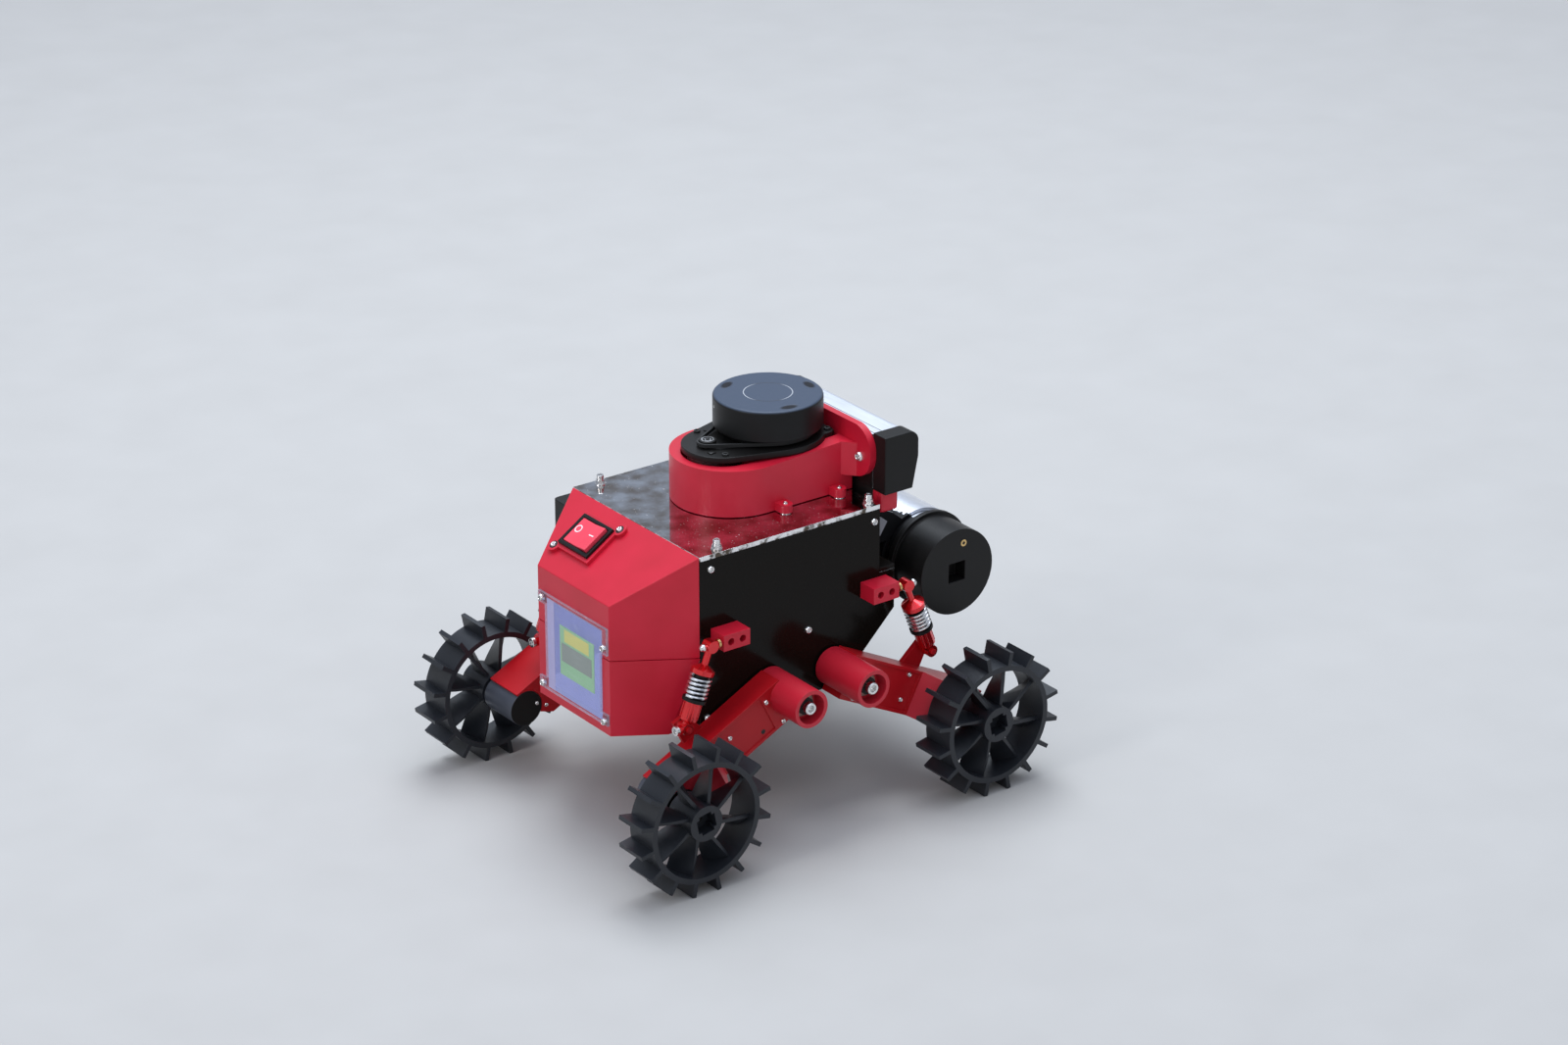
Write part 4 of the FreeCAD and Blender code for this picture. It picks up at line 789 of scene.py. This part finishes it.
def switch():
    """Bezel with its two screws, frame, and rocker with an O and a dash."""
    dressed("switch_bezel", round_by=0.4)
    dressed("switch_frame", round_by=0.5, segments=3)
    dressed("switch_rocker", round_by=0.6, looks=ROCKER_RED, segments=3)
    shape = bmesh.new()
    for x, y in EARS:
        ring(shape, (x, y, BEZEL_TOP - EAR_RING_SINK), Z_AXIS, inner=1.7, outer=2.9,
             height=0.35)
    shape_up("switch_ear_rings", on_slope(shape), DARK)
    shape = bmesh.new()
    for x, y in EARS:
        screw(shape, (x, y, BEZEL_TOP - EAR_SCREW_SINK), Z_AXIS, radius=2.0, height=1.2)
    shape_up("switch_ear_screws", on_slope(shape), STEEL)
    shape = bmesh.new()
    ring(shape, ZERO_PLACE, Z_AXIS, inner=2.15, outer=2.85, height=0.2)
    lean = math.atan2(ROCKER_PEAK - ROCKER_FLAT, ROCKER_HALF)
    before = set(shape.verts)
    add_block(shape, DASH_LOW, DASH_HIGH)
    dash = [vert for vert in shape.verts if vert not in before]
    bmesh.ops.transform(shape, matrix=Matrix.Translation((DASH_SHIFT * MM, 0, ROCKER_FLAT * MM))
                        @ Matrix.Rotation(lean, 4, "X"), verts=dash)
    shape_up("switch_marks", on_slope(shape), MARK_WHITE)


display()
switch()


# Range finder, belt drive and its printed mount

BASE_TOP = span("lidar_base")[1].z
BASE_SINK = 0.3
BASE_BOLTS = ((12, -23), (20, 18.5), (-56.5, 22), (-56.5, -22))
# Low block and low stud on the base
BUMP_LOW = (22.5, 8.5)
BUMP_HIGH = (27.0, 12.5)
BUMP_RISE = 0.7
STUD_PLACE = (5, -21.5)
STUD_RADIUS = 2.6
STUD_HEIGHT = 0.8
# Ring in the head's top
RING_INNER = 15.2
RING_OUTER = 15.8
RING_SINK = 0.08
RING_HEIGHT = 0.09
# Small bright stud on the head's side
HEAD_STUD_HEADING = math.radians(-22.6)
HEAD_STUD_DROP = 6.5
HEAD_STUD_SINK = 0.35


def range_finder():
    """Mount, base, motor, pulley, head and belt, with what is bolted to or cut in them."""
    dressed("lidar_mount", round_by=0.5, segments=3)
    dressed("lidar_base", round_by=0.5)
    dressed("lidar_motor", round_by=0.3)
    dressed("lidar_pulley", round_by=0.3)
    dressed("lidar_head", round_by=0.7, looks=HEAD_BLACK, segments=3)
    dressed("lidar_belt", round_by=0.2)
    shape = bmesh.new()
    ring(shape, (HEAD_MIDDLE.x, HEAD_MIDDLE.y, HEAD_HIGH.z - RING_SINK), Z_AXIS, RING_INNER,
         RING_OUTER, RING_HEIGHT, steps=96)
    shape_up("head_ring", shape, HEAD_RING, "scan_head")
    shape = bmesh.new()
    side = Vector((math.cos(HEAD_STUD_HEADING), math.sin(HEAD_STUD_HEADING), 0))
    place = Vector((HEAD_MIDDLE.x, HEAD_MIDDLE.y, HEAD_HIGH.z - HEAD_STUD_DROP))
    reach = (HEAD_HIGH.x - HEAD_LOW.x) / 2
    screw(shape, place + side * (reach - HEAD_STUD_SINK), side, radius=1.1, height=0.45)
    shape_up("head_side_stud", shape, STEEL, "scan_head")
    foot = BASE_TOP - BASE_SINK
    shape = bmesh.new()
    for x, y in BASE_BOLTS:
        cap_bolt(shape, (x, y, foot), Z_AXIS, radius=2.1, height=1.7)
    shape_up("base_bolts", shape, DARK)
    shape = bmesh.new()
    add_block(shape, (*BUMP_LOW, foot), (*BUMP_HIGH, BASE_TOP + BUMP_RISE), round_by=0.3)
    add_rod(shape, (*STUD_PLACE, foot), Z_AXIS, STUD_RADIUS, STUD_HEIGHT)
    shape_up("base_bumps", shape, LOOKS["black_plastic"])


PULLEY_LOW, PULLEY_HIGH = span("lidar_pulley")
PULLEY_MIDDLE = (PULLEY_LOW + PULLEY_HIGH) / 2
HUB_RADIUS = 4.2
HUB_HEIGHT = 0.5
HUB_SINK = 0.3
CLIP_RADIUS = 2.7
CLIP_WIRE = 0.5
CLIP_LIFT = 0.2
CLIP_ARC = math.radians(250)
CLIP_START = math.radians(120)
SHAFT_RADIUS = 1.3
SHAFT_SINK = 0.2
SHAFT_HEIGHT = 1.0


def pulley_clip():
    """Bright hub on the pulley with a dark open clip round the shaft end in its middle."""
    place = Vector((PULLEY_MIDDLE.x, PULLEY_MIDDLE.y, PULLEY_HIGH.z))
    shape = bmesh.new()
    add_rod(shape, place - Z_AXIS * HUB_SINK, Z_AXIS, HUB_RADIUS, HUB_HEIGHT, sides=32)
    shape_up("pulley_hub", shape, STEEL, "drive_pulley")
    shape = bmesh.new()
    made = bmesh.ops.create_circle(shape, cap_ends=True, segments=10, radius=CLIP_WIRE * MM)
    move = Matrix.Translation((CLIP_RADIUS * MM, 0, 0)) @ Matrix.Rotation(QUARTER_TURN, 4, "X")
    bmesh.ops.transform(shape, matrix=move, verts=made["verts"])
    bmesh.ops.spin(shape, geom=shape.faces[:], cent=(0, 0, 0), axis=Z_AXIS, angle=CLIP_ARC,
                   steps=24)
    bmesh.ops.recalc_face_normals(shape, faces=shape.faces[:])
    lift = Matrix.Translation((place + Z_AXIS * CLIP_LIFT) * MM)
    bmesh.ops.transform(shape, matrix=lift @ Matrix.Rotation(CLIP_START, 4, "Z"),
                        verts=shape.verts)
    add_rod(shape, place - Z_AXIS * SHAFT_SINK, Z_AXIS, SHAFT_RADIUS, SHAFT_HEIGHT, sides=20)
    shape_up("pulley_clip", shape, DARK, "drive_pulley")


# The mount's bosses on the lid, and the face and place of the screws in its two ears
BOSS_XS = (-8, -50)
BOSS_Y = 43.4
BOSS_Z = 199.5
BOSS_SINK = 0.2
WASHER_SINK = 0.1
FLANGE_THICKNESS = 4.8
EAR_FACE = span("lidar_mount")[0].x + FLANGE_THICKNESS
EAR_Y = 49.6
EAR_Z = 220


def mount_screws():
    """Screws in the mount's bosses, washers under them, and screws in its ears."""
    shape = bmesh.new()
    for side in (1, -1):
        for x in BOSS_XS:
            y = side * BOSS_Y
            ring(shape, (x, y, LID_HIGH.z - WASHER_SINK), Z_AXIS, inner=2.0, outer=3.9,
                 height=0.75)
            screw(shape, (x, y, BOSS_Z - BOSS_SINK), Z_AXIS, radius=1.7, height=0.9)
        screw(shape, (EAR_FACE, side * EAR_Y, EAR_Z), X_AXIS, radius=3.3, height=2.4)
    shape_up("mount_screws", shape, STEEL)


range_finder()
pulley_clip()
mount_screws()


# Sensor bar

dressed("sensor_bar", round_by=0.6, looks=[BAR_METAL, LOOKS["black_plastic"]],
        pick=lambda place, normal: 1 if normal.x > MOSTLY else 0, segments=3)
for cap in ("sensor_bar_cap_left", "sensor_bar_cap_right"):
    dressed(cap, round_by=0.7, segments=3)


# Cross drum and side box

dressed("drum_tube", round_by=0.5, looks=TUBE_FOIL)
for part in ("drum_cap_left", "drum_cap_right"):
    dressed(part, round_by=0.5)
dressed("drum_saddle", round_by=0.3, looks=FOIL)
dressed("side_box", round_by=0.6, segments=3)

# The threaded insert's place behind and above the drum's axis, and its sizes
INSERT_BACK = 5
INSERT_UP = 19
INSERT_SINK = 0.15
INSERT_BORE = 1.1
INSERT_RADIUS = 2.3
INSERT_HEIGHT = 0.45


def drum_inserts():
    """Brass threaded insert in the end face of each drum cap, with a dark disc of painted shade in
    its bore.
    """
    brass = bmesh.new()
    holes = bmesh.new()
    for side, cap in ((1, "drum_cap_left"), (-1, "drum_cap_right")):
        low, high = span(cap)
        face = high.y if side > 0 else low.y
        place = Vector((DRUM_MIDDLE.x - INSERT_BACK, face - side * INSERT_SINK,
                        DRUM_MIDDLE.z + INSERT_UP))
        ring(brass, place, Y_AXIS * side, INSERT_BORE, INSERT_RADIUS, INSERT_HEIGHT, steps=28)
        # Painted shade: a dark disc stands for the insert's bore
        add_rod(holes, place, Y_AXIS * side, radius=1.15, length=0.25, sides=20)
    shape_up("drum_inserts", brass, BRASS)
    shape_up("drum_insert_hole_shade", holes, DARK)


drum_inserts()


# Running gear. Each corner is measured along its arm: u from the pivot towards the axle,
# v square to the arm and up, and w outward from the rover's middle.

PIVOT_REACH = 24.2
PIVOT_HEIGHT = 93.8
AXLE = Vector(frame["joints"][0]["pos_m"]) / MM
ARM_SLOPE = math.atan2(PIVOT_HEIGHT - AXLE.z, abs(AXLE.x) - PIVOT_REACH)
# Faces of an arm as w: inner and outer face, cover, the tube that stands out past
# TUBE_START, and its bore's floor
ARM_INNER = 70.2
ARM_FACE = 88.2
COVER_FACE = 87.2
TUBE_START = 89.2
BORE_FLOOR = 104.0
# Lower eye of the shock absorber, and the run and rise from there to its upper eye
EYE_U, EYE_V = 66.0, 27.0
EYE_W = 79.5
SHOCK_RUN, SHOCK_RISE = 19.3, 50.5
EYE_RADIUS = 4.0
# Distances down the shock absorber from its upper eye, and radii about its length
CORE_RADIUS = 4.8
CUP_END = 18.0
COIL_LENGTH = 16.0
COLLAR_DEPTH = 2.3
COIL_RADIUS = 6.5
WIRE_RADIUS = 1.1
TURNS = 5
TURN_STEPS = 24
RIBS = 10
RIB_REACH = 5.2
RIB_RADIUS = 0.75
RIB_START, RIB_END = 37.5, 47.0


def on_arm(ahead, side, u, v, w):
    """Place in the rover's own frame of a point measured along an arm."""
    cos, sin = math.cos(ARM_SLOPE), math.sin(ARM_SLOPE)
    return Vector((ahead * (PIVOT_REACH + u * cos + v * sin), side * w,
                   PIVOT_HEIGHT - u * sin + v * cos))


def shock_frame(ahead, side):
    """Matrix from a shock absorber's own frame, its upper eye at 0 and its length along -Z."""
    top = on_arm(ahead, side, EYE_U, EYE_V, EYE_W) + Vector((-ahead * SHOCK_RUN, 0, SHOCK_RISE))
    lean = -ahead * math.atan2(SHOCK_RUN, SHOCK_RISE)
    return Matrix.Translation(top * MM) @ Matrix.Rotation(lean, 4, "Y")


def spring(corner, ahead, side):
    """Coil of round wire between the cup and the ring."""
    shape = bmesh.new()
    made = bmesh.ops.create_circle(shape, cap_ends=False, segments=8, radius=WIRE_RADIUS * MM)
    start = Matrix.Translation((COIL_RADIUS * MM, 0, -(CUP_END + COIL_LENGTH - WIRE_RADIUS) * MM))
    bmesh.ops.transform(shape, matrix=start @ Matrix.Rotation(QUARTER_TURN, 4, "X"),
                        verts=made["verts"])
    steps = TURNS * TURN_STEPS
    climb = (COIL_LENGTH - 2 * WIRE_RADIUS) * MM / steps
    bmesh.ops.spin(shape, geom=shape.verts[:] + shape.edges[:], cent=(0, 0, 0), axis=Z_AXIS,
                   dvec=(0, 0, climb), angle=FULL_TURN * TURNS, steps=steps)
    ends = [edge for edge in shape.edges if edge.is_boundary]
    bmesh.ops.holes_fill(shape, edges=ends, sides=0)
    bmesh.ops.recalc_face_normals(shape, faces=shape.faces[:])
    bmesh.ops.transform(shape, matrix=shock_frame(ahead, side), verts=shape.verts)
    piece = shape_up("spring_" + corner + "_coil", shape, LOOKS["spring_steel"])
    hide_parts("spring_" + corner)


def shock(corner, ahead, side):
    """Damper in two halves, dark inside the coil and just below it, and ribbed further down."""
    back = shock_frame(ahead, side).inverted()
    coil_end = CUP_END + COIL_LENGTH
    slack = 0.1

    def shade(place, normal):
        local = back @ (place * MM) / MM
        depth = -local.z
        in_core = math.hypot(local.x, local.y) < CORE_RADIUS
        in_coil = CUP_END - slack < depth < coil_end + slack
        below = coil_end - slack < depth < coil_end + COLLAR_DEPTH
        return 1 if (in_coil and in_core) or below else 0

    looks = [LOOKS["red_anodised"], LOOKS["black_plastic"]]
    dressed("shock_upper_" + corner, round_by=0.3, looks=looks, pick=shade)
    dressed("shock_lower_" + corner, round_by=0.3, looks=looks, pick=shade)
    ribs = bmesh.new()
    for number in range(RIBS):
        turned = FULL_TURN * number / RIBS
        place = Vector((RIB_REACH * math.cos(turned), RIB_REACH * math.sin(turned), -RIB_END))
        add_rod(ribs, place, Z_AXIS, RIB_RADIUS, RIB_END - RIB_START, sides=10)
    bmesh.ops.transform(ribs, matrix=shock_frame(ahead, side), verts=ribs.verts)
    shape_up("shock_ribs_" + corner, ribs, LOOKS["red_anodised"])


# Round head of the screw through an upper eye, in pairs of radius and height
DOME = ((0, 4.6), (0.9, 4.4), (1.8, 3.8), (2.4, 2.8), (2.5, 2.0), (2.2, 1.0), (1.4, 0.3),
        (1.4, 0), (0, 0))
DOME_SINK = 0.6
EYE_WASHER_BACK = 2.6
LOW_EYE_SINK = 1.2
COLLAR_RADIUS = 3.0
# On each lower eye, ahead and behind: the collar's length, and the bolt's radius and height
LOW_EYE_BOLTS = {1: (3.0, 3.2, 2.4), -1: (0.6, 2.2, 0.48)}


def shock_fastenings():
    """Ball screws through the upper eyes, and collars with bolts on the lower eyes."""
    shape = bmesh.new()
    washers = bmesh.new()
    collars = bmesh.new()
    for _, ahead, side in CORNERS:
        eye = shock_frame(ahead, side).translation / MM
        out = X_AXIS * ahead
        add_turned(shape, DOME, eye + out * (EYE_RADIUS - DOME_SINK), out, steps=24)
        ring(washers, eye - out * (EYE_RADIUS + EYE_WASHER_BACK), out, inner=1.7, outer=2.9,
             height=1.6, steps=24)
        low = on_arm(ahead, side, EYE_U, EYE_V, EYE_W) + out * (EYE_RADIUS - LOW_EYE_SINK)
        length, radius, height = LOW_EYE_BOLTS[ahead]
        add_rod(collars, low, out, COLLAR_RADIUS, length, sides=28)
        cap_bolt(shape, low + out * length, out, radius, height)
    shape_up("shock_screws", shape, STEEL)
    shape_up("shock_collars", collars, LOOKS["red_anodised"])
    shape_up("shock_washers", washers, BRASS)


# Places along the arm, as u and v, of the cover's screws ahead and behind, of the small
# screws on the inner side and of the wire hole
COVER_SCREWS = {1: ((14.6, 6.8), (10.3, -14.0), (46.5, 3.8), (50.7, -7.6)),
                -1: ((14.6, 6.8), (10.3, -14.0), (50.0, 9.5), (50.7, -7.6))}
INNER_SCREWS = ((84, 6), (93, -2), (88, -8))
WIRE_HOLE = (24.9, -10.7)
WIRE_HOLE_SINK = 0.4
# The cover lies within these limits
COVER_START, COVER_END = 17, 58
COVER_FOOT = -14.5


def arm_fastenings():
    """Cover screws and the wire hole, a dark disc of painted shade, on the outer faces, and small
    screws by the drives.
    """
    shape = bmesh.new()
    holes = bmesh.new()
    for _, ahead, side in CORNERS:
        out = Y_AXIS * side
        for u, v in COVER_SCREWS[ahead]:
            on_cover = COVER_START < u < COVER_END and v > COVER_FOOT
            face = COVER_FACE if on_cover else ARM_FACE
            screw(shape, on_arm(ahead, side, u, v, face), out, radius=1.7, height=1.2)
        for u, v in INNER_SCREWS:
            screw(shape, on_arm(ahead, side, u, v, ARM_INNER), -out, radius=1.4, height=0.9)
        hole = on_arm(ahead, side, *WIRE_HOLE, COVER_FACE - WIRE_HOLE_SINK)
        # Painted shade: a dark disc stands for the wire hole
        add_rod(holes, hole, out, radius=1.6, length=0.45, sides=20)
    shape_up("arm_screws", shape, STEEL)
    shape_up("arm_wire_hole_shade", holes, DARK)


# How far the washer sinks into the bore's floor, and the heights of washer and spacer
TUBE_SINK = 0.2
TUBE_WASHER = 1.4
TUBE_SPACER = 3.4


def tube_bolts():
    """Washer, dark spacer and socket cap bolt deep in each arm's tube."""
    dull = bmesh.new()
    steel = bmesh.new()
    dark = bmesh.new()
    for _, ahead, side in CORNERS:
        out = Y_AXIS * side
        floor = on_arm(ahead, side, 0, 0, BORE_FLOOR - TUBE_SINK)
        ring(dull, floor, out, inner=2.0, outer=7.8, height=TUBE_WASHER)
        ring(dark, floor + out * TUBE_WASHER, out, inner=2.0, outer=5.6, height=TUBE_SPACER)
        cap_bolt(steel, floor + out * (TUBE_WASHER + TUBE_SPACER), out, radius=4.0, height=5.2)
    shape_up("tube_washers", dull, DULL_STEEL)
    shape_up("tube_bolts", steel, STEEL)
    shape_up("tube_spacers", dark, LOOKS["black_plastic"])


# The plate that carries the lower eye: it rises over the arm's top edge as far as
# PLATE_END along the arm, and is cut back to a margin round the eye
ARM_TOP = 13.5
PLATE_END = 79.0
PLATE_FACE = 74.5
PLATE_SLACK = 0.3
TOP_SLACK = 0.2
SLIM_MARGIN = 3.4


def arm(corner, ahead, side):
    """Arm whose plate under the shock absorber's lower eye is cut back close to the eye."""
    slim_end = EYE_U + SLIM_MARGIN
    slim_top = EYE_V + SLIM_MARGIN

    def slim(shape):
        origin = on_arm(ahead, side, 0, 0, 0)
        run = on_arm(ahead, side, 1, 0, 0) - origin
        rise = on_arm(ahead, side, 0, 1, 0) - origin
        for vert in shape.verts:
            from_pivot = vert.co / MM - origin
            u, v = from_pivot.dot(run), from_pivot.dot(rise)
            in_plate = slim_end < u < PLATE_END + PLATE_SLACK and v > ARM_TOP - TOP_SLACK
            if in_plate and abs(vert.co.y) / MM < PLATE_FACE:
                vert.co -= run * (u - slim_end) * MM
            if v > slim_top:
                vert.co -= rise * (v - slim_top) * MM

    # Faces of the tube take the lighter red of its painted sheen
    dressed("arm_" + corner, round_by=0.6, looks=[ARM_PRINT, TUBE_SHEEN_PRINT],
            pick=lambda place, normal: 1 if abs(place.y) > TUBE_START else 0, reshape=slim)


for corner, ahead, side in CORNERS:
    arm(corner, ahead, side)
    dressed("drive_" + corner, round_by=0.4, looks=[DRIVE_GREY, LOOKS["black_plastic"]],
            pick=lambda place, normal: 1 if abs(normal.y) > MOSTLY else 0)
    dressed("shock_bracket_" + corner, round_by=0.7)
    dressed("wheel_" + corner, round_by=0.35)
    shock(corner, ahead, side)
    spring(corner, ahead, side)
shock_fastenings()
arm_fastenings()
tube_bolts()


# Stage, lamps and camera. Lamps are placed and sized in metres, and shine in watts.

CAMERA_PLACE = Vector((1496.9, 2072.6, 1289.8))
CAMERA_TARGET = Vector((1.8, 55.1, 193.1))
LENS = 101.43
SENSOR = 36
VIEW_LIMIT = 100
FLOOR_HALF = 30
LAMP_TARGET = Vector((0, 0, 0.12))
WHITE = (1, 1, 1)
COOL = (0.86, 0.93, 1.0)
LAMPS = (("top", (-0.4, -0.5, 2.5), (1.6, 1.6), 39, COOL),
         ("front", (2.3, 0.2, 1.5), (0.5, 1.2), 12, WHITE),
         ("left", (0.7, 2.3, 1.1), (0.5, 1.2), 3.5, WHITE),
         ("far", (-0.8, -1.3, 2.4), (1.2, 1.0), 18, COOL))


def stage():
    """Wide pale floor, which is left out of the model."""
    shape = bmesh.new()
    bmesh.ops.create_grid(shape, x_segments=1, y_segments=1, size=FLOOR_HALF)
    mesh = bpy.data.meshes.new("floor")
    shape.to_mesh(mesh)
    shape.free()
    floor = bpy.data.objects.new("floor", mesh)
    bpy.context.scene.collection.objects.link(floor)
    finish = Finish("floor", Roughness=0.9, Specular_IOR_Level=0.2)
    finish.colour(finish.noise(grain=60), (0.46, 0.445, 0.425), (0.5, 0.485, 0.465))
    mesh.materials.append(finish.material)


def aim(item, place, target):
    """Puts a lamp or the camera at a place and turns it to face a target."""
    item.location = place
    item.rotation_euler = (target - place).to_track_quat("-Z", "Y").to_euler()
    bpy.context.scene.collection.objects.link(item)


def lamp(name, place, size, power, colour):
    """Oblong area lamp that faces the rover."""
    data = bpy.data.lights.new(name, "AREA")
    data.shape = "RECTANGLE"
    data.size, data.size_y = size
    data.energy = power
    data.color = colour
    aim(bpy.data.objects.new(name, data), Vector(place), LAMP_TARGET)


def world():
    """Bright cool light from above, dim sides, and a pale band at the horizon."""
    horizon = (0.8, 0.8, 0.8)
    sides = (0.3, 0.335, 0.4)
    overhead = (0.98, 1.08, 1.28)
    made = bpy.data.worlds.new("studio")
    made.use_nodes = True
    wiring = Wiring(made.node_tree)
    heading = wiring.node("ShaderNodeTexCoord", {}, "Generated")
    height = wiring.node("ShaderNodeSeparateXYZ", [heading], "Z")
    walls = wiring.blend(height.between(0.12, 0.22), horizon, sides)
    sky = wiring.blend(height.between(0.5, 0.85), walls, overhead)
    wiring.tree.links.new(sky.socket, wiring.tree.nodes["Background"].inputs["Color"])
    bpy.context.scene.world = made


def camera():
    """Camera at the photograph's place."""
    data = bpy.data.cameras.new("camera")
    data.lens = LENS
    data.sensor_width = SENSOR
    data.clip_end = VIEW_LIMIT
    item = bpy.data.objects.new("camera", data)
    aim(item, CAMERA_PLACE * MM, CAMERA_TARGET * MM)
    bpy.context.scene.camera = item


stage()
world()
for settings in LAMPS:
    lamp(*settings)
camera()
bpy.context.scene.view_settings.view_transform = "Standard"
